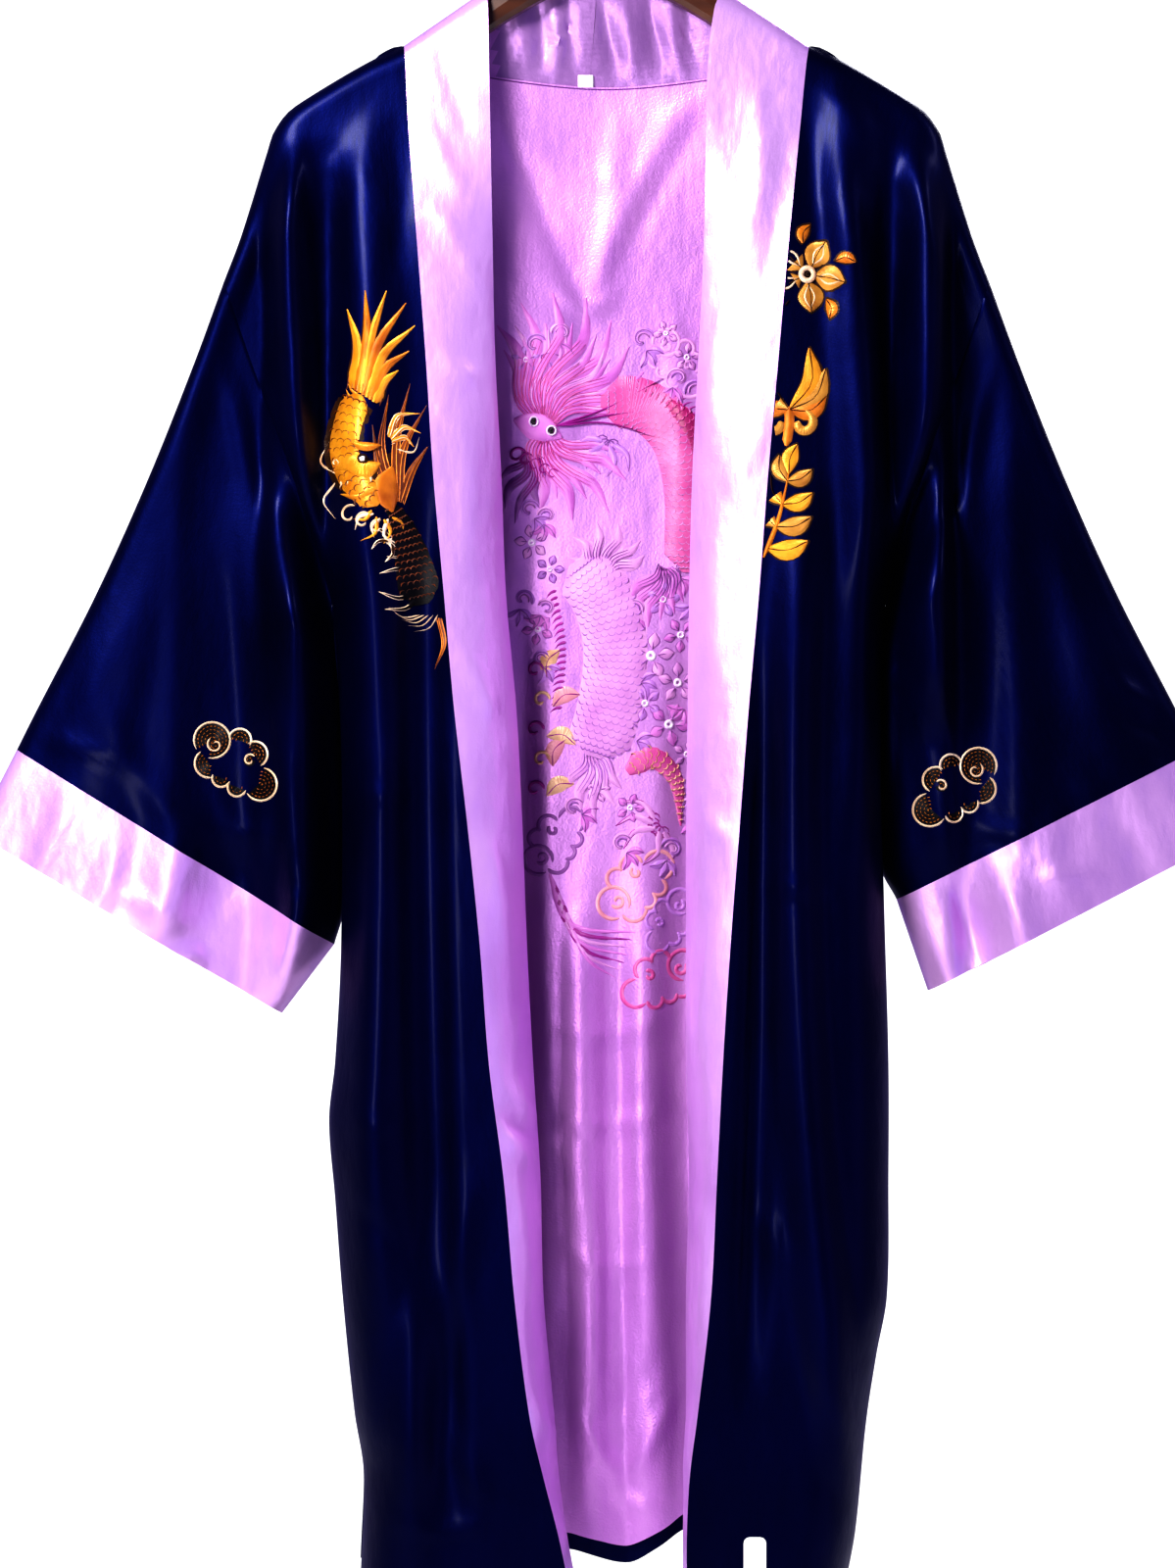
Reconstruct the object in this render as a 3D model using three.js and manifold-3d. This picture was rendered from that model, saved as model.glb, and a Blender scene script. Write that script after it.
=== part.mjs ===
// A long satin kimono robe hanging open on a wooden coat hanger.
// Millimetres, +Z up, the front faces -Y. The origin is the inside top of the hook, where a rail holds it.
// Right and left are the wearer's: the right side is at negative x.
// "out" is the distance from the middle plane, x = 0, towards either side.
import * as THREE from "three";
import Module from "manifold-3d";

// Cloth thicknesses and the gaps between pieces
const SHELL = 1.2;
const LINING = 1.0;
const BAND = 2.0;
const LABEL = 0.6;
const SEAM_GAP = 0.3;
const ARMHOLE_GAP = 0.4;

// The garment's lengths
const FRONT_HEM_Z = -1154;
const LINING_SHORTER = 12;
const HANGER_FOLD_RADIUS = 10;
const SIDE_ROUNDING = 36;
const UNDERARM_ROUNDING = 26;
const SHOULDER_SWELL = 140;
const FOLD_FADE = 30;

// How far the front and the back stand from the middle plane
const DEPTHS = [
  { z: -100, front: 22, back: 24 },
  { z: -300, front: 32, back: 34 },
  { z: -600, front: 42, back: 44 },
  { z: -1154, front: 48, back: 46 },
];
const CUFF_DEPTH = 24;

// The line where the cloth folds over the hanger and on down the sleeve's outer edge to the cuff's corner
const ROOF = [
  { out: 0, z: -62 },
  { out: 40, z: -72 },
  { out: 77, z: -91 },
  { out: 96, z: -104 },
  { out: 135, z: -132 },
  { out: 159, z: -143 },
  { out: 198, z: -166 },
  { out: 213, z: -177 },
  { out: 222, z: -190 },
  { out: 226, z: -202 },
  { out: 244, z: -260 },
  { out: 255, z: -289 },
  { out: 274, z: -341 },
  { out: 305, z: -419 },
  { out: 340, z: -497 },
  { out: 380, z: -575 },
  { out: 393, z: -601 },
  { out: 421, z: -656 },
];
const NECK_SIDE = 4;
const SHOULDER_END = 11;
const CUFF_SEAM = 16;

// The armhole seam, from the shoulder's end to the armpit
const ARMHOLE = [
  { out: 255, z: -289 },
  { out: 236, z: -345 },
  { out: 212, z: -410 },
  { out: 195, z: -462 },
];
const ARMPIT_Z = -505;

// What differs between the two sides: armpit, side seam, sleeve's inner edge and cuff
const SIDES = {
  right: {
    sign: -1,
    armpit: 183,
    side: [
      { out: 177, z: -600 },
      { out: 177, z: -731 },
      { out: 181, z: -809 },
      { out: 185, z: -848 },
      { out: 181, z: -900 },
      { out: 176, z: -965 },
      { out: 168, z: -1043 },
      { out: 162, z: -1082 },
      { out: 164, z: -1154 },
    ],
    underarm: [
      { out: 186, z: -600 },
      { out: 184, z: -731 },
    ],
    cuffEdge: { out: 217, z: -777 },
  },
  left: {
    sign: 1,
    armpit: 186,
    side: [
      { out: 183, z: -600 },
      { out: 185, z: -700 },
      { out: 188, z: -809 },
      { out: 188, z: -887 },
      { out: 187, z: -965 },
      { out: 180, z: -1004 },
      { out: 173, z: -1050 },
      { out: 166, z: -1121 },
      { out: 160, z: -1154 },
    ],
    underarm: [
      { out: 193, z: -600 },
      { out: 196, z: -701 },
    ],
    cuffEdge: { out: 215, z: -762 },
  },
};

// The front edges: the seam of the band, its free edge, and how far the free edge lies behind the seam
const FRONT_EDGE = [
  { z: -132, rightSeam: 135, rightFree: 80, leftSeam: 135, leftFree: 78, back: 0 },
  { z: -145, rightSeam: 134, rightFree: 79, leftSeam: 133, leftFree: 72, back: -4 },
  { z: -185, rightSeam: 132, rightFree: 78, leftSeam: 129, leftFree: 67, back: -2 },
  { z: -263, rightSeam: 126, rightFree: 76, leftSeam: 121, leftFree: 65, back: 14 },
  { z: -341, rightSeam: 120, rightFree: 74, leftSeam: 114, leftFree: 61, back: 22 },
  { z: -419, rightSeam: 115, rightFree: 70, leftSeam: 107, leftFree: 57, back: 28 },
  { z: -497, rightSeam: 108, rightFree: 67, leftSeam: 101, leftFree: 55, back: 33 },
  { z: -575, rightSeam: 101, rightFree: 60, leftSeam: 94, leftFree: 54, back: 37 },
  { z: -653, rightSeam: 92, rightFree: 56, leftSeam: 88, leftFree: 53, back: 41 },
  { z: -731, rightSeam: 84, rightFree: 53, leftSeam: 82, leftFree: 53, back: 45 },
  { z: -809, rightSeam: 78, rightFree: 49, leftSeam: 77, leftFree: 53, back: 48 },
  { z: -887, rightSeam: 68, rightFree: 44, leftSeam: 73, leftFree: 55, back: 51 },
  { z: -965, rightSeam: 61, rightFree: 42, leftSeam: 69, leftFree: 53, back: 53 },
  { z: -1043, rightSeam: 51, rightFree: 35, leftSeam: 60, leftFree: 53, back: 56 },
  { z: -1082, rightSeam: 42, rightFree: 32, leftSeam: 55, leftFree: 52, back: 57 },
  { z: -1121, rightSeam: 32, rightFree: 27, leftSeam: 53, leftFree: 51, back: 57 },
  { z: -1154, rightSeam: 25, rightFree: 21, leftSeam: 53, leftFree: 51, back: 57 },
];
// The free edge climbs past the seam as the band rises to the neck.
const BAND_RISE = 38;
const BAND_RISE_FROM = -330;
const BAND_CURL = 0.6;

// The seam of the band round the back of the neck, and the band's top edge there
const NECK_SEAM = [
  { out: 135, z: -132 },
  { out: 112, z: -144 },
  { out: 69, z: -153 },
  { out: 0, z: -159 },
];
const NECK_EDGE = [
  { out: 79, y: 0, z: -94 },
  { out: 74, y: 10, z: -91 },
  { out: 60, y: 18, z: -86 },
  { out: 34, y: 24, z: -91 },
  { out: 0, y: 28, z: -96 },
];

// The back's hem, by x
const BACK_HEM = [
  { x: -170, z: -1140 },
  { x: -60, z: -1137 },
  { x: -24, z: -1138 },
  { x: 14, z: -1147 },
  { x: 34, z: -1137 },
  { x: 54, z: -1124 },
  { x: 100, z: -1116 },
  { x: 170, z: -1122 },
];
// A short vent in the left front's hem, 98 mm from the middle
const VENT = { out: 98, width: 15, height: 32, corner: 5 };

// Folds. Each crest runs from topOut at topZ past midOut to endOut at endZ. It fades over "fade" at both ends.
// inner and outer are its half-widths towards the middle and the side; a negative height is a hollow.
const FRONT_FOLDS = {
  right: [
    { topOut: 216, midOut: 204, endOut: 200, topZ: -178, endZ: -800, inner: 19, outer: 24, height: 17, fade: 60 },
    { topOut: 240, midOut: 246, endOut: 254, topZ: -230, endZ: -800, inner: 26, outer: 46, height: -15, fade: 90 },
    { topOut: 160, midOut: 158, endOut: 156, topZ: -170, endZ: -1020, inner: 30, outer: 22, height: 11, fade: 160 },
    { topOut: 120, midOut: 116, endOut: 100, topZ: -380, endZ: -1160, inner: 17, outer: 24, height: -12, fade: 160 },
    { topOut: 330, midOut: 345, endOut: 360, topZ: -440, endZ: -720, inner: 44, outer: 44, height: 7, fade: 110 },
    { topOut: 84, midOut: 120, endOut: 134, topZ: -860, endZ: -1160, inner: 22, outer: 26, height: 8, fade: 110 },
  ],
  left: [
    { topOut: 221, midOut: 221, endOut: 220, topZ: -180, endZ: -600, inner: 40, outer: 13, height: 19, fade: 50 },
    { topOut: 236, midOut: 238, endOut: 246, topZ: -225, endZ: -800, inner: 15, outer: 36, height: -13, fade: 70 },
    { topOut: 148, midOut: 178, endOut: 176, topZ: -160, endZ: -700, inner: 30, outer: 13, height: 12, fade: 110 },
    { topOut: 134, midOut: 128, endOut: 164, topZ: -400, endZ: -1110, inner: 24, outer: 22, height: 13, fade: 130 },
    { topOut: 106, midOut: 100, endOut: 92, topZ: -520, endZ: -1060, inner: 12, outer: 16, height: -8, fade: 130 },
    { topOut: 318, midOut: 340, endOut: 352, topZ: -420, endZ: -720, inner: 46, outer: 40, height: 8, fade: 110 },
  ],
};
const BACK_FOLDS = {
  right: [
    { topOut: 214, midOut: 206, endOut: 200, topZ: -178, endZ: -800, inner: 26, outer: 22, height: 15, fade: 70 },
    { topOut: 242, midOut: 250, endOut: 258, topZ: -240, endZ: -800, inner: 24, outer: 40, height: -13, fade: 90 },
    { topOut: 150, midOut: 146, endOut: 138, topZ: -200, endZ: -1230, inner: 24, outer: 26, height: 13, fade: 110 },
    { topOut: 108, midOut: 104, endOut: 96, topZ: -330, endZ: -1230, inner: 26, outer: 20, height: -10, fade: 160 },
    { topOut: 52, midOut: 60, endOut: 62, topZ: -420, endZ: -1230, inner: 22, outer: 24, height: 9, fade: 180 },
    { topOut: 14, midOut: 10, endOut: 4, topZ: -640, endZ: -1230, inner: 18, outer: 18, height: -7, fade: 150 },
    { topOut: 330, midOut: 346, endOut: 362, topZ: -440, endZ: -720, inner: 44, outer: 44, height: 7, fade: 110 },
  ],
  left: [
    { topOut: 218, midOut: 212, endOut: 208, topZ: -180, endZ: -800, inner: 30, outer: 18, height: 16, fade: 60 },
    { topOut: 238, midOut: 244, endOut: 252, topZ: -230, endZ: -800, inner: 18, outer: 40, height: -13, fade: 80 },
    { topOut: 156, midOut: 150, endOut: 144, topZ: -210, endZ: -1230, inner: 26, outer: 22, height: 12, fade: 110 },
    { topOut: 112, midOut: 106, endOut: 102, topZ: -300, endZ: -1230, inner: 24, outer: 22, height: -11, fade: 150 },
    { topOut: 62, midOut: 54, endOut: 66, topZ: -460, endZ: -1230, inner: 24, outer: 24, height: 8, fade: 180 },
    { topOut: 22, midOut: 26, endOut: 30, topZ: -620, endZ: -1230, inner: 16, outer: 18, height: -6, fade: 150 },
    { topOut: 322, midOut: 342, endOut: 354, topZ: -430, endZ: -720, inner: 44, outer: 42, height: 8, fade: 110 },
  ],
};

// The hanger: its arm's top line follows the roof, and its section is an oval
const HANGER = [
  { out: 0, top: -55, height: 34, thick: 15 },
  { out: 20, top: -59, height: 33, thick: 15 },
  { out: 40, top: -70, height: 31, thick: 15 },
  { out: 77, top: -97, height: 26, thick: 13 },
  { out: 135, top: -138, height: 24, thick: 12 },
  { out: 185, top: -164.5, height: 21, thick: 11 },
  { out: 204, top: -178, height: 17, thick: 10 },
  { out: 209, top: -183, height: 11, thick: 8 },
];
const HANGER_SQUARENESS = 0.75;
const HOOK_WIRE = 3.6;
const HOOK_INSIDE = 20;
const HOOK_STEM_TOP = -46;
const FERRULE = { radius: 4.5, height: 5 };

// Mesh fineness
const ACROSS = { front: 11, band: 4 };
const DOWN = { side: 14, sleeve: 9, cuff: 2 };
// The rows of the body, as shares of its height: close over the hanger, then down the armhole to the armpit
const ARMPIT_ROW = 0.25;
const ARMHOLE_ROWS = [0, 0.0025, 0.007, 0.014, 0.032, 0.06, 0.095, 0.13, 0.17, 0.21, ARMPIT_ROW];
// The points of half a sleeve's ring, as shares of its length: close at the fold and at the underarm
const RING = [0, 0.012, 0.03, 0.06, 0.13, 0.25, 0.42, 0.6, 0.78, 0.92, 1];
// Half the back's columns, as shares of the shoulder's length and then of the neck's half
const SHOULDER_COLUMNS = [0, 0.02, 0.16, 0.32, 0.48, 0.64, 0.82, 1];
const NECK_COLUMNS = [0.02, 0.06, 0.13, 0.25, 0.42, 0.6, 0.8, 1];
const DENSE = 120;

const clamp = (u) => Math.min(Math.max(u, 0), 1);
const mix = (a, b, u) => a + (b - a) * u;
const smooth = (u) => clamp(u) ** 2 * (3 - 2 * clamp(u));
const rounded = (u) => Math.sqrt(1 - (1 - clamp(u)) ** 2);

// A column of a table, read smoothly between its rows. The key column rises or falls all the way.
function read(table, key, column, at) {
  const rising = table[table.length - 1][key] > table[0][key];
  const rows = rising ? table : [...table].reverse();
  const last = rows.length - 1;
  if (at <= rows[0][key]) return rows[0][column];
  if (at >= rows[last][key]) return rows[last][column];
  const i = rows.findIndex((row, k) => k < last && at <= rows[k + 1][key]);
  const slope = (k) => {
    const a = rows[Math.max(k - 1, 0)];
    const b = rows[Math.min(k + 1, last)];
    return (b[column] - a[column]) / (b[key] - a[key]);
  };
  const span = rows[i + 1][key] - rows[i][key];
  const u = (at - rows[i][key]) / span;
  return (
    rows[i][column] * (1 + 2 * u) * (1 - u) ** 2 +
    slope(i) * span * u * (1 - u) ** 2 +
    rows[i + 1][column] * u * u * (3 - 2 * u) -
    slope(i + 1) * span * u * u * (1 - u)
  );
}

// A smooth path through points, by its share of the length, 0 to 1
function path(points) {
  const far = [0];
  for (let i = 1; i < points.length; i++) far.push(far[i - 1] + points[i].distanceTo(points[i - 1]));
  const columns = points.map((p, i) => ({ at: far[i] / far[far.length - 1], x: p.x, y: p.y, z: p.z ?? 0 }));
  return (u) =>
    new THREE.Vector3(read(columns, "at", "x", u), read(columns, "at", "y", u), read(columns, "at", "z", u));
}

// Front-view outlines are paths in (out, z), held as x and y of a Vector3.
const flatPath = (rows) => path(rows.map((row) => new THREE.Vector3(row.out, row.z, 0)));

// A patch between four front-view edges: s runs from outer to inner, t from top to bottom.
function patch(top, bottom, outer, inner) {
  return (s, t) => {
    const p = new THREE.Vector3();
    p.addScaledVector(outer(t), 1 - s).addScaledVector(inner(t), s);
    p.addScaledVector(top(s), 1 - t).addScaledVector(bottom(s), t);
    p.addScaledVector(outer(0), -(1 - s) * (1 - t)).addScaledVector(inner(0), -s * (1 - t));
    return p.addScaledVector(outer(1), -(1 - s) * t).addScaledVector(inner(1), -s * t);
  };
}

const roofPath = flatPath(ROOF);
const ROOF_STEPS = 90;
const roofPoints = Array.from({ length: ROOF_STEPS + 1 }, (_, i) => roofPath(i / ROOF_STEPS));

// The distance in the front view from a point to the roof line
function belowRoof(out, z) {
  let nearest = Infinity;
  for (let i = 0; i < ROOF_STEPS; i++) {
    const a = roofPoints[i];
    const dx = roofPoints[i + 1].x - a.x;
    const dz = roofPoints[i + 1].y - a.y;
    const u = clamp(((out - a.x) * dx + (z - a.y) * dz) / (dx * dx + dz * dz));
    nearest = Math.min(nearest, Math.hypot(out - a.x - u * dx, z - a.y - u * dz));
  }
  return nearest;
}

function foldHeight(folds, out, z) {
  let sum = 0;
  for (const fold of folds) {
    const down = (fold.topZ - z) / (fold.topZ - fold.endZ);
    if (down <= 0 || down >= 1) continue;
    const bend = 4 * down * (1 - down) * (fold.midOut - (fold.topOut + fold.endOut) / 2);
    const off = out - mix(fold.topOut, fold.endOut, down) - bend;
    const share = off / (off > 0 ? fold.outer : fold.inner);
    if (Math.abs(share) >= 1) continue;
    const ends = smooth((fold.topZ - z) / fold.fade) * smooth((z - fold.endZ) / fold.fade);
    sum += fold.height * (1 - share * share) ** 2 * ends;
  }
  return sum;
}

// The body's outer edge in the front view: the armhole, then the side seam
function bodyEdge(side) {
  return [...ARMHOLE, { out: side.armpit, z: ARMPIT_Z }, ...side.side];
}
function edgePath(side, sign) {
  const along = [...ARMHOLE, { out: side.armpit, z: ARMPIT_Z }].map((row) => ({ out: sign * row.out, z: row.z }));
  const down = [along.at(-1), ...side.side.map((row) => ({ out: sign * row.out, z: row.z }))];
  const armhole = flatPath(along);
  const seam = flatPath(down);
  return (t) => (t < ARMPIT_ROW ? armhole(t / ARMPIT_ROW) : seam((t - ARMPIT_ROW) / (1 - ARMPIT_ROW)));
}
const openness = (z) => smooth((z - ARMPIT_Z) / (ARMHOLE[0].z - ARMPIT_Z));

// How far the cloth stands from the middle plane, before the side's and the underarm's rounding
function stand(face, folds, out, z, depth) {
  const below = belowRoof(out, z);
  const over = HANGER_FOLD_RADIUS * rounded(below / HANGER_FOLD_RADIUS);
  const swell = (depth - HANGER_FOLD_RADIUS) * smooth(below / SHOULDER_SWELL);
  const base = over + swell;
  const fold = foldHeight(folds, out, z) * smooth(below / FOLD_FADE);
  return fold < 0 ? base * Math.exp(fold / base) : base + fold;
}

// The depth of the body's front or back, at a point of the front view
function bodyDepth(face, sideName, out, z) {
  const side = SIDES[sideName];
  const folds = (face === "front" ? FRONT_FOLDS : BACK_FOLDS)[sideName];
  const open = openness(z);
  const inFrom = z < ARMHOLE[0].z ? read(bodyEdge(side), "z", "out", z) - out : SIDE_ROUNDING;
  const share = open + (1 - open) * rounded(inFrom / SIDE_ROUNDING);
  return share * stand(face, folds, out, z, read(DEPTHS, "z", face, z));
}

const even = (count) => Array.from({ length: count + 1 }, (_, i) => i / count);

const densely = (i) => (1 - Math.cos((i / DENSE) * Math.PI)) / 2;

function lengthBetween(curve, from, to) {
  let sum = 0;
  for (let i = 0; i < DENSE; i++) {
    const [a, b] = [i, i + 1].map((k) => curve(mix(from, to, k / DENSE)));
    sum += a.distanceTo(b);
  }
  return sum;
}

// Points at given shares of the length of a curve, which is a function of 0 to 1
function spaced(curve, shares) {
  const dense = Array.from({ length: DENSE + 1 }, (_, i) => curve(densely(i)));
  const far = [0];
  for (let i = 1; i <= DENSE; i++) far.push(far[i - 1] + dense[i].distanceTo(dense[i - 1]));
  let i = 0;
  return shares.map((share) => {
    const at = far[DENSE] * share;
    while (i < DENSE - 1 && far[i + 1] < at) i++;
    return dense[i].clone().lerp(dense[i + 1], clamp((at - far[i]) / (far[i + 1] - far[i])));
  });
}

const LINING_END = 1 - LINING_SHORTER / 1000;
const panelRows = [
  ...ARMHOLE_ROWS,
  ...Array.from({ length: DOWN.side }, (_, i) => mix(ARMPIT_ROW, LINING_END, (i + 1) / DOWN.side)),
  1,
];

// Outward directions of a grid of points, from the area of the quads round each one
function directions(grid, closed, flip) {
  const columns = grid[0].length;
  const found = grid.map((row) => row.map(() => new THREE.Vector3()));
  for (let r = 0; r < grid.length - 1; r++)
    for (let c = 0; c < (closed ? columns : columns - 1); c++) {
      const n = (c + 1) % columns;
      const one = grid[r + 1][n].clone().sub(grid[r][c]);
      const other = grid[r + 1][c].clone().sub(grid[r][n]);
      const area = other.cross(one).multiplyScalar(flip ? -1 : 1);
      for (const v of [found[r][c], found[r][n], found[r + 1][c], found[r + 1][n]]) v.add(area);
    }
  found.flat().forEach((v) => v.normalize());
  return found;
}

// A closed wall between two depths under a grid of points
function wall(grid, normals, from, to, closed = false) {
  const rows = grid.length;
  const columns = grid[0].length;
  const positions = [];
  for (const depth of [from, to])
    grid.forEach((row, r) => row.forEach((p, c) => positions.push(...p.clone().addScaledVector(normals[r][c], -depth))));
  const at = (layer, r, c) => layer * rows * columns + r * columns + (c % columns);
  const index = [];
  const quad = (a, b, c, d) => index.push(a, b, c, a, c, d);
  const spans = closed ? columns : columns - 1;
  for (let r = 0; r < rows - 1; r++)
    for (let c = 0; c < spans; c++) {
      quad(at(0, r, c), at(0, r, c + 1), at(0, r + 1, c + 1), at(0, r + 1, c));
      quad(at(1, r, c), at(1, r + 1, c), at(1, r + 1, c + 1), at(1, r, c + 1));
    }
  for (let c = 0; c < spans; c++) {
    quad(at(0, 0, c), at(1, 0, c), at(1, 0, c + 1), at(0, 0, c + 1));
    quad(at(0, rows - 1, c), at(0, rows - 1, c + 1), at(1, rows - 1, c + 1), at(1, rows - 1, c));
  }
  for (let r = 0; r < rows - 1 && !closed; r++) {
    quad(at(0, r, 0), at(0, r + 1, 0), at(1, r + 1, 0), at(1, r, 0));
    const e = columns - 1;
    quad(at(0, r, e), at(1, r, e), at(1, r + 1, e), at(0, r + 1, e));
  }
  return solid(positions, index);
}

// Geometry from positions and triangles, turned so that its faces point out
function solid(positions, index) {
  const p = (i) => new THREE.Vector3().fromArray(positions, i * 3);
  let volume = 0;
  for (let i = 0; i < index.length; i += 3)
    volume += p(index[i]).dot(p(index[i + 1]).cross(p(index[i + 2])));
  if (volume < 0)
    for (let i = 0; i < index.length; i += 3) [index[i + 1], index[i + 2]] = [index[i + 2], index[i + 1]];
  const geometry = new THREE.BufferGeometry();
  geometry.setAttribute("position", new THREE.Float32BufferAttribute(positions, 3));
  geometry.setIndex(index);
  geometry.computeVertexNormals();
  return geometry;
}

// Moves the outermost points of a grid in along the cloth
function inset(grid, top, bottom, ends) {
  const moved = grid.map((row) => row.map((p) => p.clone()));
  const shift = (p, towards, by) => p.add(towards.clone().sub(p).setLength(by));
  for (const row of moved) {
    shift(row[0], row[1], ends);
    shift(row.at(-1), row.at(-2), ends);
  }
  moved[0].forEach((p, c) => shift(p, moved[1][c], Math.min(top, moved[1][c].distanceTo(p) / 2)));
  moved.at(-1).forEach((p, c) => shift(p, moved.at(-2)[c], bottom));
  return moved;
}

// A geometry as a manifold-3d solid, and back
function toManifold(geometry) {
  const vertProperties = new Float32Array(geometry.attributes.position.array);
  const triVerts = new Uint32Array(geometry.index.array);
  return new wasm.Manifold(new wasm.Mesh({ numProp: 3, vertProperties, triVerts }));
}
function toGeometry(manifold) {
  const mesh = manifold.getMesh();
  return solid([...mesh.vertProperties], [...mesh.triVerts]);
}

// Cuts the vent up from the hem, with rounded upper corners
function ventCut(geometry) {
  const { out, width, height, corner } = VENT;
  const low = 5;
  const outline = new THREE.Shape()
    .moveTo(-width / 2, -low)
    .lineTo(width / 2, -low)
    .lineTo(width / 2, height - corner)
    .lineTo(width / 2 - corner, height)
    .lineTo(corner - width / 2, height)
    .lineTo(-width / 2, height - corner);
  const points = outline.getPoints().map((p) => [p.x, p.y]);
  const depth = 120;
  const cutter = wasm.CrossSection.ofPolygons([points]).extrude(depth).rotate([90, 0, 0]);
  return toGeometry(toManifold(geometry).subtract(cutter.translate([out, 0, FRONT_HEM_Z])));
}

const wasm = await Module();
wasm.setup();
const group = new THREE.Group();
const navy = new THREE.MeshStandardMaterial({ color: 0x0a1250, roughness: 0.38 });
const lilac = new THREE.MeshStandardMaterial({ color: 0xc48be0, roughness: 0.35 });
const white = new THREE.MeshStandardMaterial({ color: 0xf4f2f0, roughness: 0.8 });
const wood = new THREE.MeshStandardMaterial({ color: 0x4a2208, roughness: 0.35 });
const steel = new THREE.MeshStandardMaterial({ color: 0xb8b8bc, roughness: 0.25, metalness: 1 });

function add(name, geometry, material) {
  const mesh = new THREE.Mesh(geometry, material);
  mesh.name = name;
  group.add(mesh);
}

const shoulder = ROOF.slice(NECK_SIDE, SHOULDER_END + 1);

// Half a front: its outer edge is the armhole and side seam, its inner edge the band's seam
function frontGrid(sideName) {
  const side = SIDES[sideName];
  const outer = edgePath(side, 1);
  const inner = flatPath(FRONT_EDGE.map((row) => ({ out: row[sideName + "Seam"], z: row.z })));
  const top = flatPath([...shoulder].reverse());
  const bottom = (s) => new THREE.Vector3(mix(outer(1).x, inner(1).x, s), FRONT_HEM_Z, 0);
  const view = patch(top, bottom, outer, inner);
  return panelRows.map((t) => {
    const curve = (s) => {
      const p = view(s, t);
      const y = -bodyDepth("front", sideName, p.x, p.y) - SEAM_GAP / 2;
      return new THREE.Vector3(side.sign * p.x, y, p.y);
    };
    return spaced(curve, even(ACROSS.front));
  });
}

// The whole back, from the right edge to the left one, its top edge round the neck seam
function backGrid() {
  const mirrored = (rows, sign) => rows.map((row) => ({ out: sign * row.out, z: row.z }));
  const half = [...[...shoulder].reverse(), ...NECK_SEAM.slice(1)];
  const top = flatPath([...mirrored(half, -1), ...mirrored([...half].reverse().slice(1), 1)]);
  const outer = edgePath(SIDES.right, -1);
  const inner = edgePath(SIDES.left, 1);
  const bottom = (s) => new THREE.Vector3(mix(outer(1).x, inner(1).x, s), FRONT_HEM_Z, 0);
  const view = patch(top, bottom, outer, inner);
  const rowCurve = (t) => (s) => {
    const p = view(s, t);
    const y = bodyDepth("back", p.x < 0 ? "right" : "left", Math.abs(p.x), p.y) + SEAM_GAP / 2;
    const lift = (read(BACK_HEM, "x", "z", p.x) - FRONT_HEM_Z) * clamp((p.y + 900) / (FRONT_HEM_Z + 900));
    return new THREE.Vector3(p.x, y, p.y + lift);
  };
  const flatLength = (rows) => lengthBetween(flatPath(rows), 0, 1);
  const neckAt = flatLength(shoulder) / flatLength(half) / 2;
  const whole = lengthBetween(rowCurve(0), 0, 1);
  const neckShare = [lengthBetween(rowCurve(0), 0, neckAt), lengthBetween(rowCurve(0), 1 - neckAt, 1)];
  const columns = neckShare.map((length) => [
    ...SHOULDER_COLUMNS.map((u) => (u * length) / whole),
    ...NECK_COLUMNS.map((u) => mix(length / whole, 0.5, u)),
  ]);
  const left = columns[1].slice(0, -1).map((u) => 1 - u);
  const shares = [...columns[0], ...left.reverse()];
  return panelRows.map((t) => spaced(rowCurve(t), shares));
}

// A tube of a sleeve or cuff from its front-view patch. s runs from the outer edge to the inner one.
function tube(view, sideName, rows, depthAt, shareAt) {
  const side = SIDES[sideName];
  return rows.map((t) => {
    const half = (sign, face) => (u) => {
      const p = view(u, t);
      const folds = (face === "front" ? FRONT_FOLDS : BACK_FOLDS)[sideName];
      const y = sign * shareAt(u, t, p) * stand(face, folds, p.x, p.y, depthAt(t, face, p.y));
      return new THREE.Vector3(side.sign * p.x, y, p.y);
    };
    const front = spaced(half(-1, "front"), RING);
    const back = spaced(half(1, "back"), RING).reverse();
    return [...front.slice(0, -1), ...back.slice(0, -1)];
  });
}

// The sleeve's first ring lies along the armhole edges of the front and the back.
function armholeRing(side, frontEdge, backEdge) {
  const count = ARMHOLE_ROWS.length;
  const moved = (p) => new THREE.Vector3(p.x + side.sign * ARMHOLE_GAP, p.y, p.z);
  const front = frontEdge.slice(0, count).map(moved);
  const back = backEdge.slice(0, count).map(moved).reverse();
  for (const p of [front[0], front.at(-1)]) p.setY(0);
  return [...front, ...back.slice(1, -1)];
}

function cuffEnds(side) {
  const seamOuter = ROOF[CUFF_SEAM];
  const seamInner = side.underarm.at(-1);
  return { seamOuter, seamInner, edgeOuter: ROOF.at(-1), edgeInner: side.cuffEdge };
}

const straight = (a, b) => (u) => new THREE.Vector3(mix(a.out, b.out, u), mix(a.z, b.z, u), 0);

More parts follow.
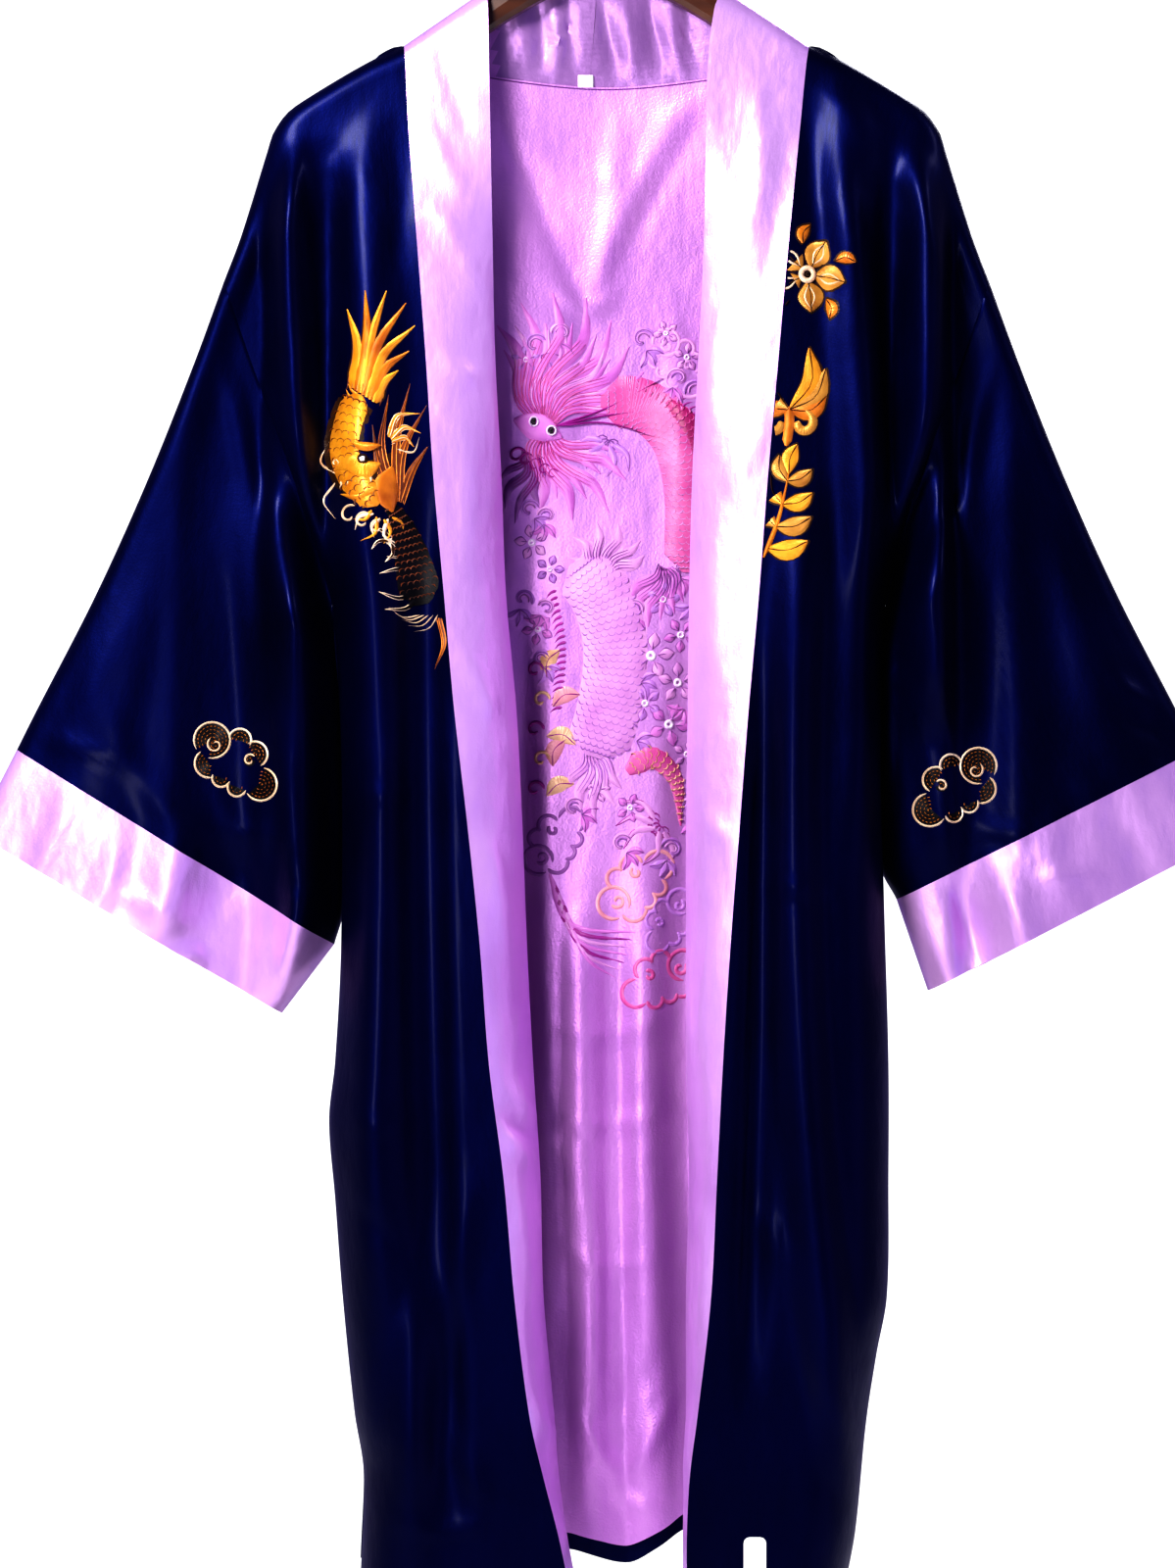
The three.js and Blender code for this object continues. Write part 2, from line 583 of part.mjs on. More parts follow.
// Each sleeve from its armhole to the cuff's seam
function sleeveGrid(sideName, frontEdge, backEdge) {
  const side = SIDES[sideName];
  const ends = cuffEnds(side);
  const armpit = { out: side.armpit, z: ARMPIT_Z };
  const armhole = flatPath([...ARMHOLE, armpit]);
  const outer = flatPath(ROOF.slice(SHOULDER_END, CUFF_SEAM + 1));
  const inner = flatPath([armpit, ...side.underarm]);
  const view = patch(armhole, straight(ends.seamOuter, ends.seamInner), outer, inner);
  const depthAt = (t, face, z) => mix(read(DEPTHS, "z", face, z), CUFF_DEPTH, smooth(t * 1.4));
  const shareAt = (s, t, p) => {
    const across = view(0, t).distanceTo(view(1, t));
    return mix(openness(p.y), rounded(((1 - s) * across) / UNDERARM_ROUNDING), smooth(t / 0.3));
  };
  const first = armholeRing(side, frontEdge, backEdge);
  return [first, ...tube(view, sideName, even(DOWN.sleeve).slice(1), depthAt, shareAt)];
}

function cuffGrid(sideName) {
  const ends = cuffEnds(SIDES[sideName]);
  const seam = straight(ends.seamOuter, ends.seamInner);
  const edge = straight(ends.edgeOuter, ends.edgeInner);
  const view = (s, t) => seam(s).lerp(edge(s), t);
  const shareAt = (s, t) => {
    const across = view(0, t).distanceTo(view(1, t));
    return rounded(((1 - s) * across) / UNDERARM_ROUNDING);
  };
  return tube(view, sideName, even(DOWN.cuff), () => CUFF_DEPTH, shareAt);
}

// The band: up the front edge from the hem, over the shoulder, and round the neck to the middle of the back
function bandGrid(sideName, frontSeam, neckSeam) {
  const side = SIDES[sideName];
  const across = (from, to, curl) =>
    even(ACROSS.band).map((q) => {
      const inward = mix(q, Math.sin((q * Math.PI) / 2), curl);
      const backward = mix(q, 1 - Math.cos((q * Math.PI) / 2), curl);
      return new THREE.Vector3(mix(from.x, to.x, inward), mix(from.y, to.y, backward), mix(from.z, to.z, q));
    });
  const front = frontSeam.map((seam) => {
    const up = smooth((seam.z - BAND_RISE_FROM) / (NECK_SEAM[0].z - BAND_RISE_FROM));
    const free = read(FRONT_EDGE, "z", sideName + "Free", seam.z);
    const set = read(FRONT_EDGE, "z", "back", seam.z);
    const to = new THREE.Vector3(side.sign * free, seam.y + set, seam.z + BAND_RISE * up);
    return across(seam, to, BAND_CURL * (1 - up));
  });
  const freePath = path(NECK_EDGE.map((row) => new THREE.Vector3(row.out, row.y, row.z)));
  const neck = neckSeam.map((point, i) => {
    const hold = i === neckSeam.length - 1 ? (side.sign * SEAM_GAP) / 2 : 0;
    const free = freePath(NECK_COLUMNS[i]);
    const seam = new THREE.Vector3(point.x + hold, point.y, point.z);
    return across(seam, new THREE.Vector3(side.sign * free.x + hold, free.y, free.z), 0);
  });
  return [...front.reverse(), ...neck];
}

// A solid through rings of points, closed by a fan at each end
function loft(rings) {
  const around = rings[0].length;
  const positions = rings.flat().flatMap((p) => [...p]);
  const index = [];
  for (let r = 0; r < rings.length - 1; r++)
    for (let c = 0; c < around; c++) {
      const a = r * around + c;
      const b = r * around + ((c + 1) % around);
      index.push(a, b, b + around, a, b + around, a + around);
    }
  const lastRing = (rings.length - 1) * around;
  for (let c = 1; c < around - 1; c++) {
    index.push(0, c + 1, c);
    index.push(lastRing, lastRing + c, lastRing + c + 1);
  }
  return solid(positions, index);
}

function addHanger() {
  const around = 12;
  const halfSteps = 13;
  const end = HANGER.at(-1).out;
  const section = (x) => {
    const out = Math.abs(x);
    const height = read(HANGER, "out", "height", out);
    const middle = read(HANGER, "out", "top", out) - height / 2;
    const thick = read(HANGER, "out", "thick", out);
    return Array.from({ length: around }, (_, i) => {
      const a = (i / around) * 2 * Math.PI;
      const squared = (v) => Math.sign(v) * Math.abs(v) ** HANGER_SQUARENESS;
      return new THREE.Vector3(x, (squared(Math.cos(a)) * thick) / 2, middle + (squared(Math.sin(a)) * height) / 2);
    });
  };
  const stations = Array.from({ length: 2 * halfSteps + 1 }, (_, i) => (end * (i - halfSteps)) / halfSteps);
  add("hanger_wood", loft(stations.map(section)), wood);
}

function addHook() {
  const middle = -HOOK_INSIDE;
  const radius = HOOK_INSIDE + HOOK_WIRE / 2;
  const onCircle = (degrees) => {
    const a = (degrees * Math.PI) / 180;
    return new THREE.Vector3(radius * Math.cos(a), 0, middle + radius * Math.sin(a));
  };
  const base = HANGER[0].top + SEAM_GAP;
  const turn = [-25, 0, 30, 60, 90, 120, 150, 180, 205].map(onCircle);
  const points = [
    new THREE.Vector3(0, 0, base + FERRULE.height),
    new THREE.Vector3(0, 0, HOOK_STEM_TOP),
    new THREE.Vector3(10, 0, HOOK_STEM_TOP + 8),
    ...turn,
  ];
  const section = new THREE.Shape().absarc(0, 0, HOOK_WIRE / 2, 0, 2 * Math.PI);
  const along = new THREE.CatmullRomCurve3(points);
  const wire = new THREE.ExtrudeGeometry(section, { steps: 40, curveSegments: 4, extrudePath: along });
  add("hanger_hook", wire, steel);
  const collar = new THREE.CylinderGeometry(FERRULE.radius, FERRULE.radius, FERRULE.height - SEAM_GAP, 12);
  collar.rotateX(Math.PI / 2).translate(0, 0, base + (FERRULE.height - SEAM_GAP) / 2);
  add("hanger_ferrule", collar, steel);
}

// The small woven label at the back of the neck, on the lining's side of the seam
const LABEL_SIZE = { x: -14, z: -156.5, width: 10, height: 8 };

function addLabel() {
  const { x, z, width, height } = LABEL_SIZE;
  const inFront = SHELL + LINING + 3 * SEAM_GAP + LABEL;
  const grid = [0, 1].map((down) =>
    [0, 0.5, 1].map((share) => {
      const px = x + (share - 0.5) * width;
      const pz = z + (0.5 - down) * height;
      return new THREE.Vector3(px, bodyDepth("back", "right", Math.abs(px), pz) - inFront, pz);
    }),
  );
  const normals = directions(grid, false, false);
  add("neck_label", wall(grid, normals, 0, LABEL), white);
}

// Gives two walls one direction where they meet, so that their ends run side by side
function mitre(ones, others) {
  ones.forEach((n, i) => {
    n.add(others[i]).normalize();
    others[i].copy(n);
  });
}

function addBack() {
  const grid = backGrid();
  const normals = directions(grid, false, true);
  const top = inset(grid, SEAM_GAP, 0, 0);
  add("back", wall(inset(top, 0, 0, SEAM_GAP), normals, 0, SHELL), navy);
  const within = (rows) => rows.slice(0, -1).map((row) => row.slice(1, -1));
  const under = SHELL + SEAM_GAP;
  add("back_lining", wall(within(top), within(normals), under, under + LINING), lilac);
  return grid;
}

// A front with its band, and a sleeve with its cuff
function addSide(sideName, back) {
  const isLeft = sideName === "left";
  const front = frontGrid(sideName);
  const backEdge = back.map((row) => row.at(isLeft ? -1 : 0));
  const neckTop = isLeft ? [...back[0]].reverse() : back[0];
  const neckSeam = neckTop.slice(SHOULDER_COLUMNS.length, SHOULDER_COLUMNS.length + NECK_COLUMNS.length);
  const seamPoints = front.map((row) => row.at(-1));
  const band = bandGrid(sideName, seamPoints, neckSeam);
  const frontOut = directions(front, false, isLeft);
  const bandOut = directions(band, false, !isLeft);
  bandOut.at(-1).forEach((n) => n.setX(0).normalize());
  const bandSeam = bandOut.slice(0, front.length).map((row) => row[0]);
  mitre(frontOut.map((row) => row.at(-1)).reverse(), bandSeam);
  const panel = wall(inset(front, 0, 0, SEAM_GAP), frontOut, 0, SHELL);
  add("front_" + sideName, isLeft ? ventCut(panel) : panel, navy);
  add("band_" + sideName, wall(inset(band, 0, 0, SEAM_GAP), bandOut, 0, BAND), lilac);

  const sleeve = sleeveGrid(
    sideName,
    front.map((row) => row[0]),
    backEdge,
  );
  const cuff = cuffGrid(sideName);
  const sleeveOut = directions(sleeve, true, isLeft);
  const cuffOut = directions(cuff, true, isLeft);
  mitre(sleeveOut.at(-1), cuffOut[0]);
  cuff[0].forEach((p, c) => p.add(cuff[1][c].clone().sub(p).setLength(SEAM_GAP)));
  add("sleeve_" + sideName, wall(sleeve, sleeveOut, 0, SHELL, true), navy);
  add("cuff_" + sideName, wall(cuff, cuffOut, 0, BAND, true), lilac);
}

addHanger();
addHook();
const back = addBack();
addSide("right", back);
addSide("left", back);
addLabel();

export default group;
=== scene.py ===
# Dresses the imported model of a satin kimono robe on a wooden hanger, and sets up its studio.
# The tables are in millimetres. "out" is the distance from the middle plane towards either side.
# Right and left are the wearer's: the right side is at negative x. The front faces -Y.
import math

import bmesh
import bpy
import numpy as np
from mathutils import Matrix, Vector
from mathutils.bvhtree import BVHTree


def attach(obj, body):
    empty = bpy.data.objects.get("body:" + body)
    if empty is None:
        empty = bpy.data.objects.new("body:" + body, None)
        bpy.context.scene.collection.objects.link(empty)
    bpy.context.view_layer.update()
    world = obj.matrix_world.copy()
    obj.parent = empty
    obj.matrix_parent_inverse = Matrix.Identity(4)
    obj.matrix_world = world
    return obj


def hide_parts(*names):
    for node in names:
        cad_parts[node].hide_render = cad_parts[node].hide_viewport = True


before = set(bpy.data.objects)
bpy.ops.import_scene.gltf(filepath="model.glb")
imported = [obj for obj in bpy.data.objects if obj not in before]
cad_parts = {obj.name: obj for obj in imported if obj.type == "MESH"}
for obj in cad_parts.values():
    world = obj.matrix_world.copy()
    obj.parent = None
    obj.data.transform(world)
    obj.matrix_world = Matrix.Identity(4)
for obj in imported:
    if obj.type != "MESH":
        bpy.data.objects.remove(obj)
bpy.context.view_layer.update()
bpy.ops.object.select_all(action="DESELECT")

MM = 0.001


def table(columns, *rows):
    """A short table with named columns."""
    values = np.array(rows, float)
    return {name: values[:, i] for i, name in enumerate(columns.split())}


def rows_of(columns):
    """The rows of a table, each with its values by name."""
    return [dict(zip(columns, row)) for row in zip(*columns.values())]


# Cloth thicknesses and gaps
SHELL = 1.2
LINING = 1.0
BAND = 2.0
SEAM_GAP = 0.06
ARMHOLE_GAP = 0.1
LINING_GAP = 0.3
SEAM_ALLOWANCE = 7

# The garment's lengths
FRONT_HEM_Z = -1154
LINING_SHORTER = 12
HANGER_FOLD_RADIUS = 10
SIDE_ROUNDING = 36
UNDERARM_ROUNDING = 26
SHOULDER_SWELL = 140
FOLD_FADE = 30
ARMPIT_Z = -505
CUFF_DEPTH = 24

DEPTHS = table("z front back", (-100, 22, 24), (-300, 32, 34), (-600, 42, 44), (-1154, 48, 46))

# The line where the cloth folds over the hanger and on down the sleeve's outer edge
ROOF = [
    (0, -62),
    (40, -72),
    (77, -91),
    (96, -104),
    (135, -132),
    (159, -143),
    (198, -166),
    (213, -177),
    (222, -190),
    (226, -202),
    (244, -260),
    (255, -289),
    (274, -341),
    (305, -419),
    (340, -497),
    (380, -575),
    (393, -601),
    (421, -656),
]
NECK_SIDE = 4
SHOULDER_END = 11
CUFF_SEAM = 16
ARMHOLE = [(255, -289), (236, -345), (212, -410), (195, -462)]

SIGN = {"right": -1, "left": 1}
ARMPIT = {"right": 183, "left": 186}
SIDE_SEAM = {
    "right": [
        (177, -600),
        (177, -731),
        (181, -809),
        (185, -848),
        (181, -900),
        (176, -965),
        (168, -1043),
        (162, -1082),
        (164, -1154),
    ],
    "left": [
        (183, -600),
        (185, -700),
        (188, -809),
        (188, -887),
        (187, -965),
        (180, -1004),
        (173, -1050),
        (166, -1121),
        (160, -1154),
    ],
}
UNDERARM = {
    "right": [(180, -530), (177.6, -556), (175.5, -600), (175.5, -706), (182, -731)],
    "left": [(183, -530), (181.6, -556), (181, -600), (183, -678), (194, -701)],
}
UNDERARM_LAP = {"back": 21, "width": 74}
CUFF_EDGE = {"right": (217, -777), "left": (215, -762)}

# The front edges: the band's seam, its free edge, and how far the free edge lies behind the seam
FRONT_EDGE = table(
    "z right_seam right_free left_seam left_free back",
    (-132, 135, 80, 135, 78, 0),
    (-145, 134, 79, 133, 72, -4),
    (-185, 132, 78, 129, 67, -2),
    (-263, 126, 76, 121, 65, 14),
    (-341, 120, 74, 114, 61, 22),
    (-419, 115, 70, 107, 57, 28),
    (-497, 108, 67, 101, 55, 33),
    (-575, 101, 60, 94, 54, 37),
    (-653, 92, 56, 88, 53, 41),
    (-731, 84, 53, 82, 53, 45),
    (-809, 78, 49, 77, 53, 48),
    (-887, 68, 44, 73, 55, 51),
    (-965, 61, 42, 69, 53, 53),
    (-1043, 51, 35, 60, 53, 56),
    (-1082, 42, 32, 55, 52, 57),
    (-1121, 32, 27, 53, 51, 57),
    (-1154, 25, 21, 53, 51, 57),
)
HEM_CURVES_FROM = -900
MIDDLE_BLEND = 14
LEAST_DEPTH = 4
BAND_RISE = 38
BAND_RISE_FROM = -330
BAND_CURL = 0.6
BAND_MEET_X = -14
NECK_SEAM = [(135, -132), (112, -144), (69, -153), (0, -159)]
NECK_EDGE = [(79, 0, -94), (74, 8, -91), (60, 12, -86), (34, 13, -91), (0, 12, -96)]
BACK_HEM = table(
    "x z",
    (-170, -1140),
    (-60, -1137),
    (-24, -1138),
    (14, -1147),
    (34, -1137),
    (54, -1124),
    (100, -1116),
    (170, -1122),
)
VENT = {"out": 98, "width": 15, "height": 32}

# Folds, from top to end. inner and outer are half-widths; a negative height is a hollow.
FOLD = "top_out mid_out end_out top_z end_z inner outer height fade"
FRONT_FOLDS = {
    "right": table(
        FOLD,
        (216, 204, 200, -178, -800, 19, 24, 17, 60),
        (240, 246, 254, -230, -800, 26, 46, -15, 90),
        (160, 158, 156, -170, -1020, 30, 22, 11, 160),
        (120, 116, 100, -380, -1160, 17, 24, -12, 160),
        (330, 345, 360, -440, -720, 44, 44, 7, 110),
        (84, 120, 134, -860, -1160, 22, 26, 8, 110),
    ),
    "left": table(
        FOLD,
        (221, 221, 220, -180, -600, 40, 13, 19, 50),
        (236, 238, 246, -225, -800, 15, 36, -13, 70),
        (148, 178, 176, -160, -700, 30, 13, 12, 110),
        (134, 128, 164, -400, -1110, 24, 22, 13, 130),
        (106, 100, 92, -520, -1060, 12, 16, -8, 130),
        (318, 340, 352, -420, -720, 46, 40, 8, 110),
    ),
}
BACK_FOLDS = {
    "right": table(
        FOLD,
        (214, 206, 200, -178, -800, 26, 22, 15, 70),
        (242, 250, 258, -240, -800, 24, 40, -13, 90),
        (150, 146, 138, -200, -1230, 24, 26, 13, 110),
        (108, 104, 96, -330, -1230, 26, 20, -10, 160),
        (52, 60, 62, -420, -1230, 22, 24, 9, 180),
        (14, 10, 4, -640, -1230, 18, 18, -7, 150),
        (330, 346, 362, -440, -720, 44, 44, 7, 110),
    ),
    "left": table(
        FOLD,
        (218, 212, 208, -180, -800, 30, 18, 16, 60),
        (238, 244, 252, -230, -800, 18, 40, -13, 80),
        (156, 150, 144, -210, -1230, 26, 22, 12, 110),
        (112, 106, 102, -300, -1230, 24, 22, -11, 150),
        (62, 54, 66, -460, -1230, 24, 24, 8, 180),
        (22, 26, 30, -620, -1230, 16, 18, -6, 150),
        (322, 342, 354, -430, -720, 44, 42, 8, 110),
    ),
}

# Creases: small soft ridges and troughs, from one point past a middle one to another. x is negative on the
# right side. The drape rows are the deep troughs and ridges below the shoulders, on every cloth in front.
CREASE = "x1 z1 x2 z2 x3 z3 width height"
CREASES = {
    "front": table(
        CREASE,
        (148, -150, 168, -200, 175, -310, 15, 8.0),
        (132, -166, 140, -230, 150, -310, 9, -4.4),
        (200, -500, 214, -560, 222, -588, 12, 2.4),
        (196, -545, 205, -580, 214, -612, 7, -2.6),
        (105, -690, 132, -693, 158, -688, 6, 1.8),
        (112, -706, 134, -702, 152, -705, 5, -1.4),
        (90, -900, 118, -940, 132, -1000, 9, 2.0),
        (128, -980, 148, -1030, 172, -1060, 8, 2.2),
        (140, -1080, 156, -1100, 166, -1130, 7, -1.8),
        (-150, -170, -165, -230, -170, -300, 10, 2.4),
        (-136, -190, -140, -260, -150, -330, 8, -2.0),
        (-205, -180, -212, -260, -214, -330, 7, 2.4),
        (-158, -330, -166, -400, -160, -470, 9, 1.8),
        (-132, -560, -146, -640, -142, -720, 9, 1.6),
        (-172, -620, -150, -632, -128, -624, 6, 1.5),
        (-176, -842, -150, -850, -124, -842, 8, 1.8),
        (-170, -905, -152, -918, -138, -940, 7, -1.6),
        (-108, -1030, -96, -1070, -76, -1100, 8, 1.8),
        (-80, -1110, -110, -1118, -140, -1110, 7, 1.4),
    ),
    "drape": table(
        CREASE,
        (188, -212, 189, -380, 187, -560, 10, -15.0),
        (212, -190, 213, -380, 219, -572, 9, 7.0),
        (229, -214, 230, -380, 233, -560, 7, -8.0),
        (-186, -206, -186, -380, -186, -530, 9, -15.0),
        (-208, -190, -208, -400, -206, -610, 11, 6.0),
        (-231, -212, -231, -380, -229, -570, 7, -8.0),
    ),
    "sleeve_front": table(
        CREASE,
        (-262, -330, -232, -440, -214, -560, 7, 3.0),
        (-238, -400, -210, -450, -198, -490, 6, -2.8),
        (-214, -440, -202, -456, -192, -472, 5, 2.6),
        (-226, -520, -214, -610, -206, -700, 6, 2.6),
        (-250, -480, -244, -560, -232, -660, 9, -2.4),
        (-300, -450, -312, -540, -330, -620, 12, 2.0),
        (-340, -560, -310, -620, -280, -650, 10, 1.8),
        (-378, -590, -350, -600, -322, -606, 6, 1.6),
        (-266, -610, -250, -650, -240, -690, 7, 2.0),
        (-372, -608, -388, -640, -402, -676, 9, 2.0),
        (-336, -632, -350, -668, -366, -700, 11, 2.6),
        (-276, -640, -288, -692, -306, -750, 13, 9.0),
        (-234, -656, -244, -714, -252, -774, 22, -15.0),
        (-318, -726, -264, -756, -206, -800, 22, -11.0),
        (-204, -690, -211, -736, -219, -786, 8, 9.0),
        (-292, -744, -276, -738, -258, -756, 6, 5.0),
        (-384, -590, -396, -630, -420, -666, 6, 5.0),
        (-352, -620, -368, -660, -386, -700, 7, 5.6),
        (-322, -640, -330, -684, -350, -720, 7, 5.6),
        (-330, -690, -306, -704, -284, -716, 6, 2.0),
        (262, -330, 236, -440, 224, -560, 6, 3.0),
        (240, -410, 226, -440, 206, -470, 6, -2.4),
        (206, -560, 216, -620, 222, -670, 8, 2.4),
        (252, -480, 258, -560, 256, -640, 10, -2.0),
        (296, -450, 310, -520, 330, -590, 12, 2.0),
        (338, -556, 356, -566, 374, -578, 5, 3.6),
        (344, -568, 352, -584, 376, -590, 5, -2.6),
        (300, -600, 322, -630, 340, -640, 9, 1.8),
        (238, -640, 262, -656, 290, -652, 6, 1.6),
        (200, -690, 214, -730, 230, -766, 8, 5.0),
        (224, -680, 240, -714, 254, -750, 9, -7.0),
        (250, -664, 268, -704, 282, -738, 10, 5.0),
        (300, -640, 296, -676, 318, -712, 7, 3.6),
        (330, -622, 346, -660, 362, -694, 12, -5.0),
        (366, -604, 380, -640, 398, -668, 10, 4.4),
        (286, -690, 306, -684, 330, -690, 6, 3.0),
    ),
    "back": table(
        CREASE,
        (-150, -180, -120, -230, -80, -260, 9, 2.2),
        (140, -184, 112, -240, 66, -268, 9, 2.4),
        (-60, -190, -30, -214, 10, -220, 8, -1.6),
        (-200, -200, -206, -300, -204, -400, 7, 2.4),
        (206, -206, 210, -300, 206, -380, 7, 2.4),
        (-170, -520, -130, -548, -90, -556, 9, 1.8),
        (172, -530, 140, -560, 96, -566, 8, 1.8),
        (-120, -690, -60, -704, 10, -696, 9, 1.5),
        (20, -836, 80, -850, 140, -840, 9, 1.6),
        (-150, -900, -110, -930, -80, -980, 9, 2.0),
        (60, -980, 90, -1030, 120, -1090, 9, 2.0),
        (-40, -1010, -60, -1060, -66, -1110, 8, 1.8),
    ),
    "sleeve_back": table(
        CREASE,
        (-262, -330, -236, -440, -222, -560, 8, 2.8),
        (-300, -460, -316, -540, -330, -610, 12, 2.0),
        (-340, -570, -310, -610, -270, -640, 9, 2.0),
        (-236, -600, -250, -650, -240, -690, 8, 2.0),
        (262, -330, 238, -430, 226, -550, 8, 2.8),
        (300, -450, 320, -530, 332, -600, 12, 2.0),
        (340, -560, 310, -600, 268, -630, 9, 2.0),
        (236, -590, 246, -640, 236, -670, 8, 2.0),
    ),
    "lining": table(
        CREASE,
        (-58, -330, -62, -420, -60, -520, 8, 3.0),
        (44, -300, 50, -400, 46, -500, 8, 2.6),
        (8, -176, 4, -230, -6, -300, 9, 2.6),
        (72, -166, 36, -226, -4, -296, 5, -2.0),
        (60, -156, 22, -220, -10, -300, 8, 2.6),
        (-34, -290, -14, -306, 6, -294, 5, 3.6),
        (-48, -780, 4, -792, 46, -772, 7, 1.8),
        (-34, -846, 2, -853, 44, -838, 6, 2.4),
        (-24, -700, -20, -820, -26, -960, 9, 4.6),
        (-42, -980, -34, -1040, -30, -1100, 9, -4.6),
        (26, -720, 24, -860, 30, -1010, 9, 4.4),
        (8, -760, 4, -870, 2, -990, 9, -3.4),
        (-12, -880, -8, -970, -14, -1080, 8, 3.0),
        (46, -1030, 30, -1064, 14, -1092, 6, 4.0),
        (38, -1000, 20, -1030, -4, -1050, 6, -1.8),
        (-24, -1036, -6, -1070, 12, -1092, 6, 3.0),
        (-30, -930, -4, -948, 34, -940, 6, 1.8),
        (8, -1092, 16, -1106, 40, -1112, 5, 2.4),
    ),
    "band": table(
        CREASE,
        (-126, -160, -116, -196, -90, -236, 7, 2.8),
        (-112, -136, -100, -166, -88, -200, 7, -2.2),
        (-120, -240, -100, -262, -82, -300, 8, 2.4),
        (-112, -330, -98, -350, -84, -352, 6, 2.2),
        (-96, -360, -92, -430, -98, -500, 8, 2.0),
        (-100, -520, -84, -560, -72, -580, 7, 2.0),
        (-84, -660, -72, -690, -66, -740, 7, 2.4),
        (-62, -820, -54, -838, -44, -852, 6, 3.4),
        (-72, -838, -58, -852, -46, -858, 5, -3.0),
        (-68, -852, -58, -866, -48, -880, 5, 3.0),
        (-60, -880, -54, -930, -50, -980, 6, 2.0),
        (-50, -1030, -42, -1050, -30, -1060, 6, 3.0),
        (-46, -1060, -36, -1090, -28, -1110, 5, -2.4),
        (96, -150, 104, -210, 92, -262, 9, 3.0),
        (122, -190, 112, -250, 104, -300, 7, -2.4),
        (84, -300, 72, -340, 68, -400, 7, 2.2),
        (110, -380, 92, -410, 76, -430, 7, 2.2),
        (80, -420, 72, -500, 78, -580, 8, 2.2),
        (90, -560, 76, -590, 62, -600, 7, 2.0),
        (64, -640, 76, -656, 86, -652, 6, 2.4),
        (78, -700, 66, -760, 60, -800, 7, 2.0),
        (58, -900, 66, -940, 58, -990, 6, 2.6),
        (60, -1040, 54, -1070, 56, -1110, 5, 2.2),
        (-64, -96, -56, -122, -52, -152, 4, -3.4),
        (-52, -92, -44, -120, -44, -154, 4, 3.2),
        (-36, -94, -32, -126, -38, -156, 4, -3.6),
        (-24, -92, -26, -120, -22, -156, 3, 2.6),
        (-6, -92, 2, -126, 8, -158, 4, 3.4),
        (8, -92, 16, -124, 18, -156, 4, -3.4),
        (26, -90, 32, -122, 40, -154, 4, 3.6),
        (42, -92, 46, -120, 48, -152, 3, -3.0),
        (56, -94, 54, -120, 58, -148, 4, 3.0),
    ),
}

# The part's own rows and columns, which the cloth here divides further
ARMPIT_ROW = 0.25
ARMHOLE_ROWS = [0, 0.0025, 0.007, 0.014, 0.032, 0.06, 0.095, 0.13, 0.17, 0.21, ARMPIT_ROW]
SIDE_ROWS = 14
RING = [0, 0.012, 0.03, 0.06, 0.13, 0.25, 0.42, 0.6, 0.78, 0.92, 1]
SHOULDER_COLUMNS = [0, 0.02, 0.16, 0.32, 0.48, 0.64, 0.82, 1]
NECK_COLUMNS = [0, 0.02, 0.06, 0.13, 0.25, 0.42, 0.6, 0.8, 1]
DENSE = 360
BODY_HEIGHT = 1000
CLOTH_STEP = 5.0
DIVIDED_LENGTH = {"front": 150, "back": 560, "sleeve": 340}
UNDERARM_EASE = 0.3


def mix(a, b, u):
    return a + (b - a) * u


def smooth(u):
    u = np.clip(u, 0, 1)
    return u * u * (3 - 2 * u)


def rounded(u):
    return np.sqrt(1 - (1 - np.clip(u, 0, 1)) ** 2)


def read(keys, values, at):
    """Values between the rows of a table, read smoothly."""
    keys, values, at = np.asarray(keys, float), np.asarray(values, float), np.asarray(at, float)
    if keys[0] > keys[-1]:
        keys, values = keys[::-1], values[::-1]
    at = np.clip(at, keys[0], keys[-1])
    last = len(keys) - 1
    i = np.clip(np.searchsorted(keys, at, side="left") - 1, 0, last - 1)
    before, after = np.maximum(np.arange(last + 1) - 1, 0), np.minimum(np.arange(last + 1) + 1, last)
    slope = (values[after] - values[before]) / (keys[after] - keys[before])
    span = keys[i + 1] - keys[i]
    u = (at - keys[i]) / span
    return (
        values[i] * (1 + 2 * u) * (1 - u) ** 2
        + slope[i] * span * u * (1 - u) ** 2
        + values[i + 1] * u * u * (3 - 2 * u)
        - slope[i + 1] * span * u * u * (1 - u)
    )


def steps(points):
    """The distances from point to point on a line."""
    return np.linalg.norm(np.diff(points, axis=0), axis=1)


def travelled(points):
    """The distance along a line of points, at each of them."""
    return np.concatenate([[0], np.cumsum(steps(points))])


def path(points):
    """A smooth path through points, by its share of the length."""
    points = np.array(points, float)
    far = travelled(points)
    share = far / far[-1]
    return lambda u: np.stack([read(share, column, u) for column in points.T], axis=-1)


def patch(top, bottom, outer, inner):
    """Points between four edges: s runs from outer to inner, t from top to bottom."""

    def at(s, t):
        s = np.asarray(s, float)[..., None]
        a, b, c, d = outer(0.0), inner(0.0), outer(1.0), inner(1.0)
        sides = outer(t) * (1 - s) + inner(t) * s
        ends = top(s[..., 0]) * (1 - t) + bottom(s[..., 0]) * t
        corners = (a * (1 - s) + b * s) * (1 - t) + (c * (1 - s) + d * s) * t
        return sides + ends - corners

    return at


ROOF_LINE = path(ROOF)(np.linspace(0, 1, 91))


def below_roof(out, z):
    """The distance in the front view from points to the roof line."""
    a, step = ROOF_LINE[:-1], np.diff(ROOF_LINE, axis=0)
    off = np.stack([out, z], -1)[..., None, :] - a
    u = np.clip((off * step).sum(-1) / (step**2).sum(-1), 0, 1)
    return np.linalg.norm(off - u[..., None] * step, axis=-1).min(-1)


